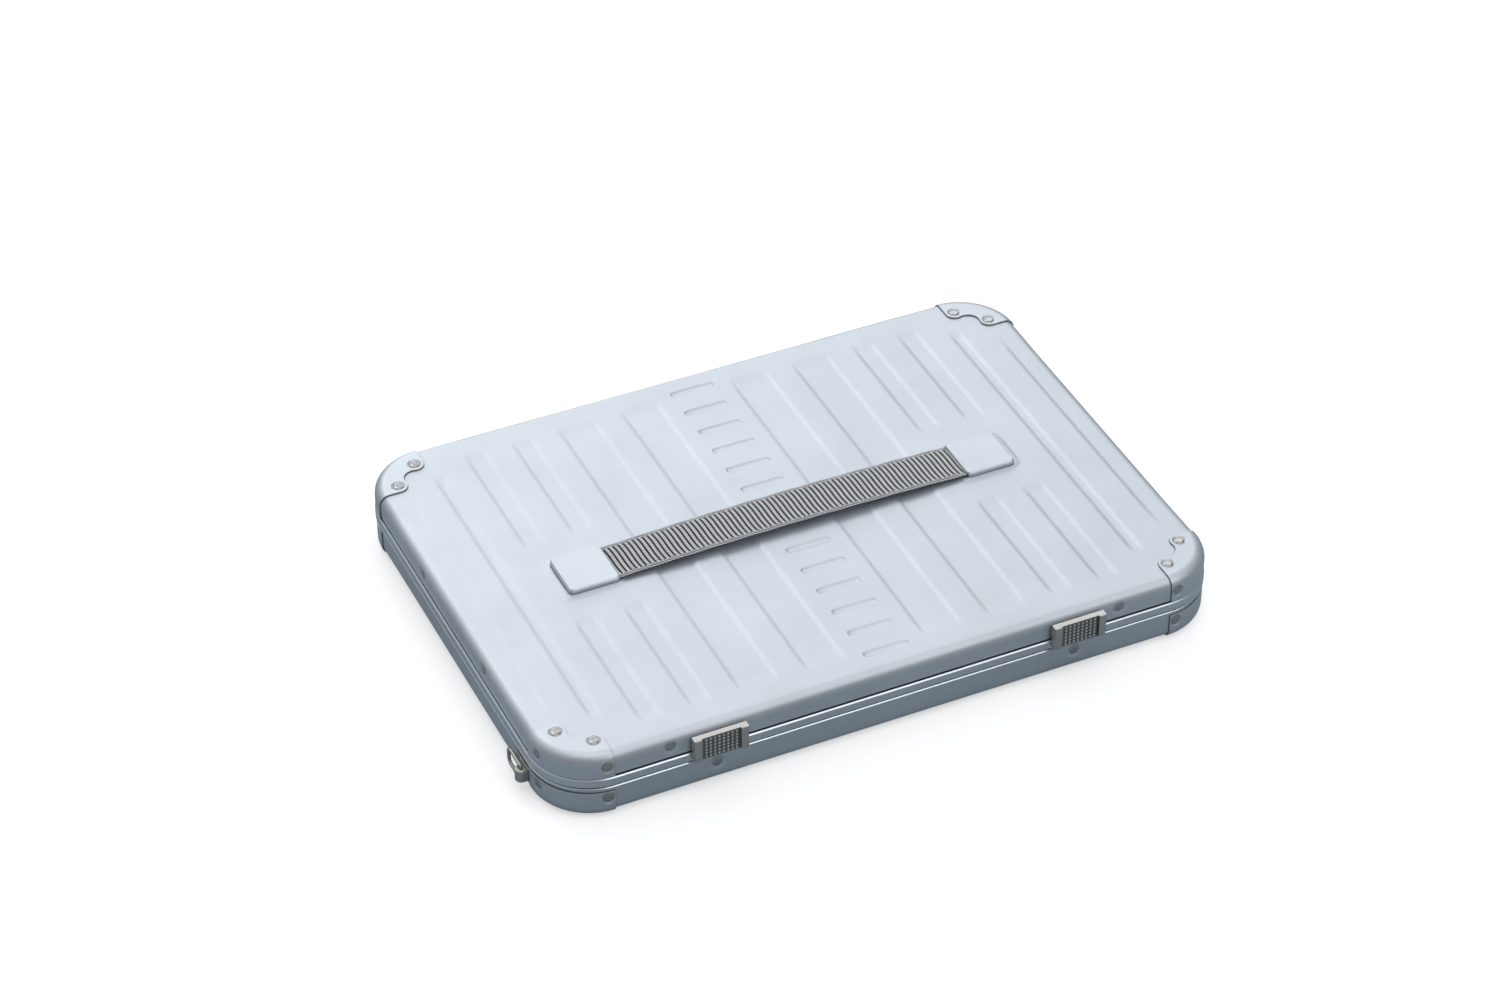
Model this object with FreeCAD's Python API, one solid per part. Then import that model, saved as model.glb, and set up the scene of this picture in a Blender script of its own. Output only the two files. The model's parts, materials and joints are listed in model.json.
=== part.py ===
import FreeCAD, Part
import math
import os

from FreeCAD import Vector

# A slim pressed-aluminium carry case: two ribbed pans, each riveted to an extruded frame,
# with riveted corner caps, two hinges, two sliding latches and a webbing hand strap.
# Millimetres. X runs across the case, Y from the latches to the hinges, Z up. The origin
# is in the middle of the plan, on the plane that the four lower corner caps rest on.

# Pans and caps
WIDTH = 350.0
DEPTH = 251.0
SHEET = 1.0
CORNER_RADIUS = 30.0
EDGE_RADIUS = 5.0
CAP_SHEET = 0.8

# Heights of the horizontal lines round the case, from the bottom to the top
BASE_PAN_BOTTOM = CAP_SHEET
BASE_CAP_TOP = 14.8
BASE_PAN_TOP = 17.0
BASE_LIP_TOP = 17.85
PARTING = 18.35
LID_BAND_BOTTOM = 18.95
LID_BAND_TOP = 23.4
LID_PAN_BOTTOM = 23.8
LID_PAN_TOP = 35.8

# Frames. An inset is a distance inwards from the outer face of the pan's wall.
FRAME_GAP = 0.1
WEB_OUTER_INSET = SHEET + FRAME_GAP
WEB_INNER_INSET = 3.5
BAND_PROUD = 1.15
LIP_PROUD = 0.95
BAND_CHAMFER = 0.55
LIP_CHAMFER = 0.45
BASE_WEB_BOTTOM = 8.0
LID_WEB_TOP = 32.2
TONGUE_OUTER_INSET = 1.0
TONGUE_INNER_INSET = 1.8
TONGUE_TOP = 20.4
GROOVE_OUTER_INSET = 0.6
GROOVE_INNER_INSET = 2.5
GROOVE_TOP = 21.8
SEAL_BOTTOM = 20.5
SEAL_GAP = 0.05

# Pressed ribs of the panels
RIB_DEPTH = 0.75
RIB_FLARE = 0.8
RIB_RADIUS = 1.0
LONG_RIB_END = 111.5
SHORT_RIB_START = 28.0
OUTER_RIB = (139.7, 144.7)
OUTER_RIB_END = 100.0
SPLIT_RIBS = ((114.7, 124.5), (89.5, 99.4))
LONG_RIBS = ((55.1, 74.3), (20.8, 40.1))
STEP_START = 161.2
STEP_END = 88.5
LOUVRE_HALF_LENGTH = 11.5
LOUVRE_WIDTH = 3.6
LOUVRE_DEPTH = 0.6
LOUVRE_FIRST = 26.0
LOUVRE_PITCH = 17.0
LOUVRE_COUNT = 6

# Hand strap and its end plates
PLATE_X = 106.3
PLATE_LENGTH = 26.5
PLATE_WIDTH = 27.0
PLATE_HEIGHT = 2.5
PLATE_EDGE = 0.7
PLATE_RADIUS = 2.5
PLATE_RIVET_X = PLATE_X + 6.6
PLATE_RIVET_Y = 8.0
PLATE_RIVET_DEPTH = 1.7
BOSS_HALF_LENGTH = 17.5
BOSS_HALF_WIDTH = 16.5
BOSS_HEIGHT = 0.7
BOSS_RADIUS = 7.0
BOSS_FLARE = -2.2
STRAP_WIDTH = 25.0
STRAP_THICKNESS = 1.5
STRAP_RISE = 2.0
STRAP_FREE_HALF = 92.0
STRAP_HELD = 15.0
STRAP_CLEARANCE = 0.2
BACKING_HEIGHT = 1.2
BACKING_MARGIN = 1.5

# Rivets and the dimples they sit in
HEAD_RADIUS = 2.6
HEAD_HEIGHT = 0.5
SHANK_RADIUS = 1.55
HOLE_RADIUS = 1.6
DIMPLE_RADIUS = 3.6
DIMPLE_DEPTH = 0.55
HEAD_CLEARANCE = 0.2
TAIL_RADIUS = 2.4
TAIL_HEIGHT = 0.8
LOBE_RADIUS = 4.7
LOBE_VALLEY_RADIUS = 6.17
CAP_RIVETS = ((150.0, 113.0), (163.5, 100.0))
CAP_REACH = 30.0
CAP_WALL_RIVETS = (math.asin(3.5 / CORNER_RADIUS), math.pi / 2 - math.asin(7.0 / CORNER_RADIUS))
LID_WALL_RIVET_Z = 29.8
BASE_WALL_RIVET_Z = 11.0
LID_FRONT_RIVET_X = 117.0
LID_SIDE_RIVET_Y = 39.0
LID_FRAME_RIVET_Z = 30.0
BASE_FRAME_RIVET_Z = 11.8

# Hinges
HINGE_X = 100.0
HINGE_HALF = 25.0
KNUCKLE_RADIUS = 2.25
KNUCKLE_HALF = 8.4
KNUCKLE_GAP = 0.2
PIN_RADIUS = 1.1
PIN_CLEARANCE = 0.06
PIN_HEAD = 0.6
LEAF_SHEET = 1.0
LEAF_STAND = BAND_PROUD + 0.05
LEAF_INNER_Y = DEPTH / 2 + LEAF_STAND
HINGE_AXIS_Y = LEAF_INNER_Y + KNUCKLE_RADIUS
LID_LEAF_TOP = 31.5
BASE_LEAF_BOTTOM = 5.5
LEAF_RIVET_PITCH = 18.0
LID_LEAF_RIVET_Z = 27.6
BASE_LEAF_RIVET_Z = 11.4

# Latches. Along is measured from a latch's middle, away from the middle of the case.
LATCH_X = 93.5
LATCH_HALF = 13.75
LATCH_FRONT_Y = -130.6
LATCH_BACK_Y = -126.8
LATCH_BOTTOM = 20.3
LATCH_TOP = 33.2
LATCH_RIDGE = 3.9
LATCH_RECESS = 1.0
LATCH_EDGE = 0.6
LATCH_TRAVEL = 6.0
STEM_HALF = 4.0
STEM_Z = (25.0, 29.0)
SLOT_GAP = 0.3
BOLT_HALF = 9.0
BOLT_Y = (-121.8, -120.3)
BOLT_Z = (21.0, 31.0)
TOE_HALF = 3.0
TOE_Z = (11.5, 13.5)
TOE_HOOK = 3.0
KEEPER_GAP = 0.4
KEEPER_LENGTH = 9.0
KEEPER_Z = (14.2, 16.6)
KEEPER_TAB_BOTTOM = 8.2
SPRING_RADIUS = 1.3
SPRING_WIRE_RADIUS = 0.22
SPRING_TURNS = 8
SPRING_LENGTH = 12.0
SPRING_Z = 27.0
SPRING_GAP = 0.05
POST_LENGTH = 2.0

# Shoulder strap rings
RING_X = 178.3
RING_Y = -92.0
RING_Z = 9.8
RING_LENGTH = 15.0
RING_WIRE = 0.85
DRUM_RADIUS = 3.0
DRUM_HALF = 3.3
DRUM_GAP = 0.2
DRUM_CLEARANCE = 0.1
DRUM_EDGE = 0.5
NECK_Y = (-94.7, -91.0)
RING_REAR_BEND = 2.6
RING_BEND_GAP = 0.05
RING_PLATE_Y = (-95.0, -80.0)
RING_PLATE_HALF = 4.0
RING_PLATE_SHEET = 1.0
RING_RIVET_Y = -84.0

# Lining
LINER_INSET = WEB_INNER_INSET + 0.2
LINER_WALL = 2.3
LINER_FLOOR = 1.5
BASE_LINER_BOTTOM = 2.8
BASE_LINER_TOP = 17.8
LID_LINER_BOTTOM = 18.9
LID_LINER_TOP = 33.2

# Lid stays: each pair of links forms a parallelogram with the hinge axis
STAY_BASE = (94.0, 12.0)
STAY_LID = (84.0, 25.0)
LINK_WIDTH = 7.0
LINK_SHEET = 1.2
LOWER_LINK_X = 167.2
UPPER_LINK_X = 165.6
STUD_RADIUS = 1.5
STUD_CLEARANCE = 0.1
STUD_HEAD_RADIUS = 2.8
STUD_HEAD = 0.6
KNEE_OUTER_HEAD = 0.3
LAYER_GAP = 0.1

MARGIN = 2.0
TINY = 1e-4
SIDES = {"left": -1, "right": 1}
ENDS = {"front": -1, "rear": 1}


def block(x, y, z):
    """Box between two values on each axis, given in either order."""
    low = Vector(min(x), min(y), min(z))
    high = Vector(max(x), max(y), max(z))
    size = high - low
    return Part.makeBox(size.x, size.y, size.z, low)


def rod(start, direction, length, radius):
    """Round bar from a point along a direction."""
    return Part.makeCylinder(radius, length, Vector(*start), Vector(*direction))


def rounded_outline(x, y, radius, z):
    """Closed wire of a rectangle with round corners, at height z."""
    centres = (
        (x[1] - radius, y[1] - radius),
        (x[0] + radius, y[1] - radius),
        (x[0] + radius, y[0] + radius),
        (x[1] - radius, y[0] + radius),
    )
    arcs = []
    for quarter, centre in enumerate(centres):
        points = [
            on_circle(centre, radius, (quarter + part) * math.pi / 2, z)
            for part in (0, 0.5, 1)
        ]
        arcs.append(points)
    edges = []
    for index, points in enumerate(arcs):
        following = arcs[(index + 1) % len(arcs)]
        edges.append(Part.Arc(*points).toShape())
        edges.append(Part.makeLine(points[-1], following[0]))
    return Part.Wire(edges)


def on_circle(centre, radius, angle, z=0.0):
    """Point at an angle on a level circle."""
    return Vector(centre[0] + radius * math.cos(angle), centre[1] + radius * math.sin(angle), z)


def slab(inset, low, high):
    """The case's plan, inset from the outer wall, between two heights."""
    half_x = WIDTH / 2 - inset
    half_y = DEPTH / 2 - inset
    outline = rounded_outline((-half_x, half_x), (-half_y, half_y), CORNER_RADIUS - inset, low)
    return Part.Face(outline).extrude(Vector(0, 0, high - low))


def ring(outer_inset, inner_inset, low, high):
    """A band that follows the case's plan all the way round."""
    return slab(outer_inset, low, high).cut(slab(inner_inset, low - MARGIN, high + MARGIN))


def rim(shape, z):
    """Outer edges of a shape's level face at height z."""
    for face in shape.Faces:
        if abs(face.BoundBox.ZMin - z) < TINY and abs(face.BoundBox.ZMax - z) < TINY:
            return face.OuterWire.Edges
    raise ValueError("no level face at that height")


def pressing(x, y, radius, low, high, flare):
    """Drafted form whose top outline stands out from its bottom outline by the flare."""
    bottom = rounded_outline(x, y, radius, low)
    top_x = (x[0] - flare, x[1] + flare)
    top_y = (y[0] - flare, y[1] + flare)
    top = rounded_outline(top_x, top_y, radius + flare, high)
    return Part.makeLoft([bottom, top], True, True)


def rib(x, y, depth, top, spread=0.0):
    """One pressed rib, sunk from the level top; spread widens it on every side."""
    grow = spread - RIB_FLARE / 2
    floor_x = (x[0] - grow, x[1] + grow)
    floor_y = (y[0] - grow, y[1] + grow)
    return pressing(floor_x, floor_y, RIB_RADIUS + spread, top - depth, top, RIB_FLARE)


def rib_places():
    """Plan rectangles of the ribs that both panels have."""
    places = []
    for side in SIDES.values():
        rows = [(OUTER_RIB, (-OUTER_RIB_END, OUTER_RIB_END))]
        rows += [(x, (-LONG_RIB_END, LONG_RIB_END)) for x in LONG_RIBS]
        for x in SPLIT_RIBS:
            rows.append((x, (SHORT_RIB_START, LONG_RIB_END)))
            rows.append((x, (-LONG_RIB_END, -SHORT_RIB_START)))
        rows.append(((STEP_START, WIDTH / 2 + MARGIN), (-STEP_END, STEP_END)))
        for x, y in rows:
            places.append((tuple(sorted((side * x[0], side * x[1]))), y))
    return places


def louvre_places():
    """Plan rectangles of the short bars across the middle of the lid."""
    places = []
    for end in ENDS.values():
        for step in range(LOUVRE_COUNT):
            middle = end * (LOUVRE_FIRST + step * LOUVRE_PITCH)
            y = (middle - LOUVRE_WIDTH / 2, middle + LOUVRE_WIDTH / 2)
            places.append(((-LOUVRE_HALF_LENGTH, LOUVRE_HALF_LENGTH), y))
    return places


def pan_form(inset, height, start=0.0):
    """Solid form of a pan that stands on z = 0 with its round-edged panel on top."""
    top = height - inset
    form = slab(inset, start, top)
    return form.makeFillet(EDGE_RADIUS - inset, rim(form, top))


def pan(height, louvres, bosses):
    """Pressed pan that stands on its open side, with ribs of even sheet thickness."""
    outside = pan_form(0.0, height)
    inside = pan_form(SHEET, height, -MARGIN)
    for side in bosses:
        outside = outside.fuse(strap_boss(side, height, 0.0))
        inside = inside.fuse(strap_boss(side, height - SHEET, SHEET))
    grooves = [rib(x, y, RIB_DEPTH, height) for x, y in rib_places()]
    ridges = [rib(x, y, RIB_DEPTH, height - SHEET, SHEET / 2) for x, y in rib_places()]
    if louvres:
        grooves += [rib(x, y, LOUVRE_DEPTH, height) for x, y in louvre_places()]
        ridges += [rib(x, y, LOUVRE_DEPTH, height - SHEET, SHEET / 2) for x, y in louvre_places()]
    return outside.cut(grooves).cut(inside.cut(ridges))


def strap_boss(side, top, inset):
    """Low raised field under a strap plate."""
    middle = side * PLATE_X
    x = (middle - BOSS_HALF_LENGTH + inset, middle + BOSS_HALF_LENGTH - inset)
    y = (-BOSS_HALF_WIDTH + inset, BOSS_HALF_WIDTH - inset)
    return pressing(x, y, BOSS_RADIUS, top, top + BOSS_HEIGHT, BOSS_FLARE)


def to_base(shape):
    """Turn a part made panel-up over so that its opening is at the base pan's top."""
    turned = shape.copy()
    turned.rotate(Vector(0, 0, 0), Vector(1, 0, 0), 180)
    turned.translate(Vector(0, 0, BASE_PAN_TOP))
    return turned


def to_lid(shape):
    """Raise a part made panel-up so that its opening is at the lid pan's bottom."""
    raised = shape.copy()
    raised.translate(Vector(0, 0, LID_PAN_BOTTOM))
    return raised


def rivet(surface, normal, grip, tail):
    """Domed rivet whose head sits at the bottom of a dimple; a tail is its clenched inner end."""
    normal = Vector(*normal)
    sphere_radius = (HEAD_RADIUS ** 2 + HEAD_HEIGHT ** 2) / (2 * HEAD_HEIGHT)
    head = Part.makeSphere(sphere_radius, Vector(0, 0, HEAD_HEIGHT - sphere_radius))
    head = head.common(rod((0, 0, 0), (0, 0, 1), HEAD_HEIGHT, HEAD_RADIUS))
    body = head.fuse(rod((0, 0, 0), (0, 0, -1), grip, SHANK_RADIUS))
    if tail:
        body = body.fuse(rod((0, 0, -grip), (0, 0, -1), TAIL_HEIGHT, TAIL_RADIUS))
    seat = Vector(*surface) - normal * DIMPLE_DEPTH
    body.Placement = FreeCAD.Placement(seat, FreeCAD.Rotation(Vector(0, 0, 1), normal))
    return body


def rivet_hole(surface, normal):
    """Hole and dimple for a rivet, through everything behind a surface."""
    normal = Vector(*normal)
    surface = Vector(*surface)
    floor_radius = HEAD_RADIUS + HEAD_CLEARANCE
    mouth_radius = 2 * DIMPLE_RADIUS - floor_radius
    floor = surface - normal * DIMPLE_DEPTH
    dimple = Part.makeCone(floor_radius, mouth_radius, 2 * DIMPLE_DEPTH, floor, normal)
    length = WEB_INNER_INSET + MARGIN
    return dimple.fuse(Part.makeCylinder(HOLE_RADIUS, length, floor - normal * length, normal))


def panel_rivet_places(z, direction):
    """Surface points and normals of the rivets through the caps' level faces."""
    return [
        ((side * x, end * y, z), (0, 0, direction))
        for side in SIDES.values()
        for end in ENDS.values()
        for x, y in CAP_RIVETS
    ]


def wall_rivet_places(z):
    """Surface points and normals of the rivets through the caps' walls."""
    reach = CORNER_RADIUS + CAP_SHEET
    places = []
    for side in SIDES.values():
        for end in ENDS.values():
            for angle in CAP_WALL_RIVETS:
                normal = (side * math.sin(angle), end * math.cos(angle), 0.0)
                x = side * (WIDTH / 2 - CORNER_RADIUS) + reach * normal[0]
                y = end * (DEPTH / 2 - CORNER_RADIUS) + reach * normal[1]
                places.append(((x, y, z), normal))
    return places


def lid_frame_rivet_places():
    """Rivets that hold the lid pan to its frame, beside the latches and on the sides."""
    places = []
    for side in SIDES.values():
        front = (side * LID_FRONT_RIVET_X, -DEPTH / 2, LID_FRAME_RIVET_Z)
        places.append((front, (0, -1, 0)))
        for end in ENDS.values():
            wall = (side * WIDTH / 2, end * LID_SIDE_RIVET_Y, LID_FRAME_RIVET_Z)
            places.append((wall, (side, 0, 0)))
    return places


def base_frame_rivet_places():
    """Rivets that hold the base pan and the latch keepers to the base frame."""
    return [
        ((side * LATCH_X, -DEPTH / 2, BASE_FRAME_RIVET_Z), (0, -1, 0))
        for side in SIDES.values()
    ]


def hinge_rivet_places(z):
    """Rivets through the hinge leaves."""
    return [
        ((side * HINGE_X + step * LEAF_RIVET_PITCH, LEAF_INNER_Y + LEAF_SHEET, z), (0, 1, 0))
        for side in SIDES.values()
        for step in (-1, 0, 1)
    ]


def holes(places):
    return [rivet_hole(surface, normal) for surface, normal in places]


def rivets(places, grip, tail=False):
    """One group of rivets; a tail shows on a rivet that holds thin sheet alone."""
    return Part.makeCompound([rivet(surface, normal, grip, tail) for surface, normal in places])


def cap_outline(height):
    """Plan of a rear right corner cap: two round lobes about its rivets, joined by a valley."""
    first = Vector(CAP_RIVETS[0][0], CAP_RIVETS[0][1], 0)
    second = Vector(CAP_RIVETS[1][0], CAP_RIVETS[1][1], 0)
    middle = (first + second) * 0.5
    half = (second - first).Length / 2
    along = (second - first).normalize()
    inwards = Vector(along.y, -along.x, 0)
    reach = LOBE_RADIUS + LOBE_VALLEY_RADIUS
    valley_centre = middle + inwards * math.sqrt(reach ** 2 - half ** 2)
    first_end = first + (valley_centre - first) * (LOBE_RADIUS / reach)
    second_start = second + (valley_centre - second) * (LOBE_RADIUS / reach)
    valley = valley_centre - inwards * LOBE_VALLEY_RADIUS
    lobe_start = Vector(first.x - LOBE_RADIUS, first.y, 0)
    lobe_end = Vector(second.x, second.y - LOBE_RADIUS, 0)
    far_x = WIDTH / 2 + CAP_REACH
    far_y = DEPTH / 2 + CAP_REACH
    corners = [
        lobe_end,
        Vector(far_x, lobe_end.y, 0),
        Vector(far_x, far_y, 0),
        Vector(lobe_start.x, far_y, 0),
        lobe_start,
    ]
    edges = [
        lobe_arc(first, lobe_start, first_end),
        Part.Arc(first_end, valley, second_start).toShape(),
        lobe_arc(second, second_start, lobe_end),
    ]
    edges += [Part.makeLine(corners[i], corners[i + 1]) for i in range(len(corners) - 1)]
    face = Part.Face(Part.Wire(edges))
    return face.extrude(Vector(0, 0, height))


def lobe_arc(centre, start, end):
    """Arc of a lobe, by way of the side that faces the middle of the panel."""
    bulge = (start - centre) + (end - centre)
    middle = centre + bulge.normalize() * LOBE_RADIUS
    return Part.Arc(start, middle, end).toShape()


def corner_cap(height, start):
    """Rear right corner cap of a pan that stands on its open side."""
    skin = pan_form(-CAP_SHEET, height).cut(pan_form(0.0, height, -MARGIN))
    plan = cap_outline(height + MARGIN)
    plan.translate(Vector(0, 0, start))
    return skin.common(plan)


def corner_caps(prefix, height, start, place, cuts):
    """The four caps of one pan, by node name."""
    cap = corner_cap(height, start)
    parts = {}
    for end_name, end in ENDS.items():
        for side_name, side in SIDES.items():
            copy = cap.copy()
            if side < 0:
                copy = copy.mirror(Vector(0, 0, 0), Vector(1, 0, 0))
            if end < 0:
                copy = copy.mirror(Vector(0, 0, 0), Vector(0, 1, 0))
            parts[prefix + "_corner_" + end_name + "_" + side_name] = place(copy)
    near = {}
    for name, shape in parts.items():
        bounds = shape.BoundBox
        near[name] = shape.cut([cut for cut in cuts if bounds.intersect(cut.BoundBox)])
    if place is to_base:
        near = swap_ends(near)
    return near


def swap_ends(parts):
    """Turning a cap over moves it to the other end of the case, so its name moves too."""
    swapped = {}
    for name, shape in parts.items():
        if "front" in name:
            swapped[name.replace("front", "rear")] = shape
        else:
            swapped[name.replace("rear", "front")] = shape
    return swapped


def latch_slots():
    """Slots that the latch stems slide in, through the lid's front wall."""
    slots = []
    for side in SIDES.values():
        x = (side * (LATCH_X - STEM_HALF - SLOT_GAP),
             side * (LATCH_X + STEM_HALF + SLOT_GAP + LATCH_TRAVEL))
        y = (-DEPTH / 2 - MARGIN, -DEPTH / 2 + WEB_INNER_INSET + MARGIN)
        slots.append(block(x, y, (STEM_Z[0] - SLOT_GAP, STEM_Z[1] + SLOT_GAP)))
    return slots


def stud_holes(place, radius, inner):
    """Holes across the side walls for the studs of the lid stays."""
    result = []
    for side in SIDES.values():
        start = (side * inner, place[0], place[1])
        result.append(rod(start, (side, 0, 0), WIDTH / 2 - SHEET - inner, radius))
    return result


def strap_rivet_places():
    return [
        (side * PLATE_RIVET_X, end * PLATE_RIVET_Y)
        for side in SIDES.values()
        for end in ENDS.values()
    ]


def strap_rivet_holes():
    return [
        rod((x, y, LID_PAN_TOP - 3 * SHEET), (0, 0, 1), 5 * SHEET, HOLE_RADIUS)
        for x, y in strap_rivet_places()
    ]


def lid_pan():
    pressed = to_lid(pan(LID_PAN_TOP - LID_PAN_BOTTOM, True, SIDES.values()))
    cuts = holes(panel_rivet_places(LID_PAN_TOP + CAP_SHEET, 1))
    cuts += holes(wall_rivet_places(LID_WALL_RIVET_Z))
    cuts += holes(lid_frame_rivet_places())
    cuts += holes(hinge_rivet_places(LID_LEAF_RIVET_Z))
    cuts += strap_rivet_holes()
    return pressed.cut(cuts + latch_slots())


def base_pan():
    pressed = to_base(pan(BASE_PAN_TOP - BASE_PAN_BOTTOM, False, ()))
    cuts = holes(panel_rivet_places(0.0, -1))
    cuts += holes(wall_rivet_places(BASE_WALL_RIVET_Z))
    cuts += holes(base_frame_rivet_places())
    cuts += holes(hinge_rivet_places(BASE_LEAF_RIVET_Z))
    cuts += ring_rivet_holes()
    return pressed.cut(cuts)


def lid_frame():
    """Extruded frame: an outside band with a seal groove, and a web behind the pan's wall."""
    band = slab(-BAND_PROUD, LID_BAND_BOTTOM, LID_BAND_TOP)
    band = band.makeChamfer(BAND_CHAMFER, rim(band, LID_BAND_TOP))
    band = band.cut(slab(WEB_INNER_INSET, LID_BAND_BOTTOM - MARGIN, LID_BAND_TOP + MARGIN))
    web = ring(WEB_OUTER_INSET, WEB_INNER_INSET, LID_BAND_TOP, LID_WEB_TOP)
    web = web.common(to_lid(pan_form(WEB_OUTER_INSET, LID_PAN_TOP - LID_PAN_BOTTOM, -MARGIN)))
    groove = ring(GROOVE_OUTER_INSET, GROOVE_INNER_INSET, LID_BAND_BOTTOM - MARGIN, GROOVE_TOP)
    cuts = holes(wall_rivet_places(LID_WALL_RIVET_Z))
    cuts += holes(lid_frame_rivet_places())
    cuts += holes(hinge_rivet_places(LID_LEAF_RIVET_Z))
    cuts += stud_holes(STAY_LID, STUD_RADIUS, UPPER_LINK_X)
    cuts += [groove] + latch_slots()
    return band.fuse(web).cut(cuts).removeSplitter()


def base_frame():
    """Extruded frame: an outside lip, a tongue, and a web behind the pan's wall."""
    lip = slab(-LIP_PROUD, BASE_PAN_TOP, BASE_LIP_TOP)
    lip = lip.makeChamfer(LIP_CHAMFER, rim(lip, BASE_LIP_TOP))
    lip = lip.cut(slab(WEB_INNER_INSET, BASE_PAN_TOP - MARGIN, BASE_LIP_TOP + MARGIN))
    web = ring(WEB_OUTER_INSET, WEB_INNER_INSET, BASE_WEB_BOTTOM, BASE_PAN_TOP)
    tongue = ring(TONGUE_OUTER_INSET, TONGUE_INNER_INSET, BASE_LIP_TOP, TONGUE_TOP)
    cuts = holes(wall_rivet_places(BASE_WALL_RIVET_Z))
    cuts += holes(base_frame_rivet_places())
    cuts += holes(hinge_rivet_places(BASE_LEAF_RIVET_Z))
    cuts += stud_holes(STAY_BASE, STUD_RADIUS, LOWER_LINK_X)
    cuts += ring_rivet_holes()
    return lip.fuse([web, tongue]).cut(cuts).removeSplitter()


def frame_seal():
    """Rubber cord in the top of the lid frame's groove."""
    return ring(GROOVE_OUTER_INSET + SEAL_GAP, GROOVE_INNER_INSET - SEAL_GAP,
                SEAL_BOTTOM, GROOVE_TOP - SEAL_GAP)


def strap_plate(side):
    """Cover plate that holds one end of the hand strap."""
    half = PLATE_LENGTH / 2
    x = tuple(sorted((side * (PLATE_X - half), side * (PLATE_X + half))))
    y = (-PLATE_WIDTH / 2, PLATE_WIDTH / 2)
    low = LID_PAN_TOP + BOSS_HEIGHT
    shoulder = low + PLATE_HEIGHT - PLATE_EDGE
    lower = Part.Face(rounded_outline(x, y, PLATE_RADIUS, low))
    lower = lower.extrude(Vector(0, 0, shoulder - low))
    upper = pressing(x, y, PLATE_RADIUS, shoulder, low + PLATE_HEIGHT, -PLATE_EDGE)
    pocket = block(
        (side * (PLATE_X - half - MARGIN),
         side * (STRAP_FREE_HALF + STRAP_HELD + STRAP_CLEARANCE)),
        (-STRAP_WIDTH / 2 - STRAP_CLEARANCE, STRAP_WIDTH / 2 + STRAP_CLEARANCE),
        (low - MARGIN, low + STRAP_THICKNESS + 2 * STRAP_CLEARANCE),
    )
    fixing = [
        rod((px, py, low - MARGIN), (0, 0, 1), MARGIN + PLATE_RIVET_DEPTH, HOLE_RADIUS)
        for px, py in strap_rivet_places() if px * side > 0
    ]
    return lower.fuse(upper).cut([pocket] + fixing).removeSplitter()


def strap_fixings():
    """Rivets that hold the strap plates down, with their heads inside the lid."""
    low = LID_PAN_TOP + BOSS_HEIGHT - SHEET - BACKING_HEIGHT
    shanks = []
    for x, y in strap_rivet_places():
        length = BACKING_HEIGHT + SHEET + PLATE_RIVET_DEPTH - STRAP_CLEARANCE
        shank = rod((x, y, low), (0, 0, 1), length, SHANK_RADIUS)
        head = rod((x, y, low - STUD_HEAD), (0, 0, 1), STUD_HEAD, HEAD_RADIUS)
        shanks.append(shank.fuse(head))
    return Part.makeCompound(shanks)


def strap_backing():
    """Plates that spread the strap's pull on the inside of the panel."""
    high = LID_PAN_TOP + BOSS_HEIGHT - SHEET
    plates = []
    half_x = PLATE_LENGTH / 2 - BACKING_MARGIN
    half_y = PLATE_WIDTH / 2 - BACKING_MARGIN
    for side in SIDES.values():
        x = (side * (PLATE_X - half_x), side * (PLATE_X + half_x))
        y = (-half_y, half_y)
        plates.append(block(x, y, (high - BACKING_HEIGHT, high)).cut(strap_rivet_holes()))
    return Part.makeCompound(plates)


def hand_strap():
    """Flat webbing that bows up a little between its two held ends."""
    low = LID_PAN_TOP + BOSS_HEIGHT + STRAP_CLEARANCE
    end = STRAP_FREE_HALF + STRAP_HELD

    def run(z, direction):
        ends = [Vector(direction * x, 0, z) for x in (-end, -STRAP_FREE_HALF, STRAP_FREE_HALF, end)]
        bow = Part.Arc(ends[1], Vector(0, 0, z + STRAP_RISE), ends[2]).toShape()
        return [Part.makeLine(ends[0], ends[1]), bow, Part.makeLine(ends[2], ends[3])]

    high = low + STRAP_THICKNESS
    closing = [
        Part.makeLine(Vector(end, 0, low), Vector(end, 0, high)),
        Part.makeLine(Vector(-end, 0, high), Vector(-end, 0, low)),
    ]
    outline = Part.Wire(Part.__sortEdges__(run(low, 1) + run(high, -1) + closing))
    webbing = Part.Face(outline).extrude(Vector(0, STRAP_WIDTH, 0))
    webbing.translate(Vector(0, -STRAP_WIDTH / 2, 0))
    return webbing


def liner(low, high, floor_low, floor_high, cuts):
    """Padded tray that lines a pan: a wall all round and a floor."""
    wall = ring(LINER_INSET, LINER_INSET + LINER_WALL, low, high)
    floor = slab(LINER_INSET, floor_low, floor_high)
    return wall.fuse(floor).cut(cuts).removeSplitter()


def lid_liner():
    cuts = stud_holes(STAY_LID, STUD_HEAD_RADIUS, UPPER_LINK_X)
    depth_y = (-DEPTH / 2, -DEPTH / 2 + LINER_INSET + LINER_WALL + MARGIN)
    for side in SIDES.values():
        x = (side * (LATCH_X - BOLT_HALF - MARGIN),
             side * (LATCH_X + BOLT_HALF + SPRING_LENGTH + POST_LENGTH + MARGIN))
        cuts.append(block(x, depth_y, (LID_LINER_BOTTOM - MARGIN, LID_LINER_TOP - LINER_FLOOR)))
    return liner(LID_LINER_BOTTOM, LID_LINER_TOP,
                 LID_LINER_TOP - LINER_FLOOR, LID_LINER_TOP, cuts)


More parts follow.
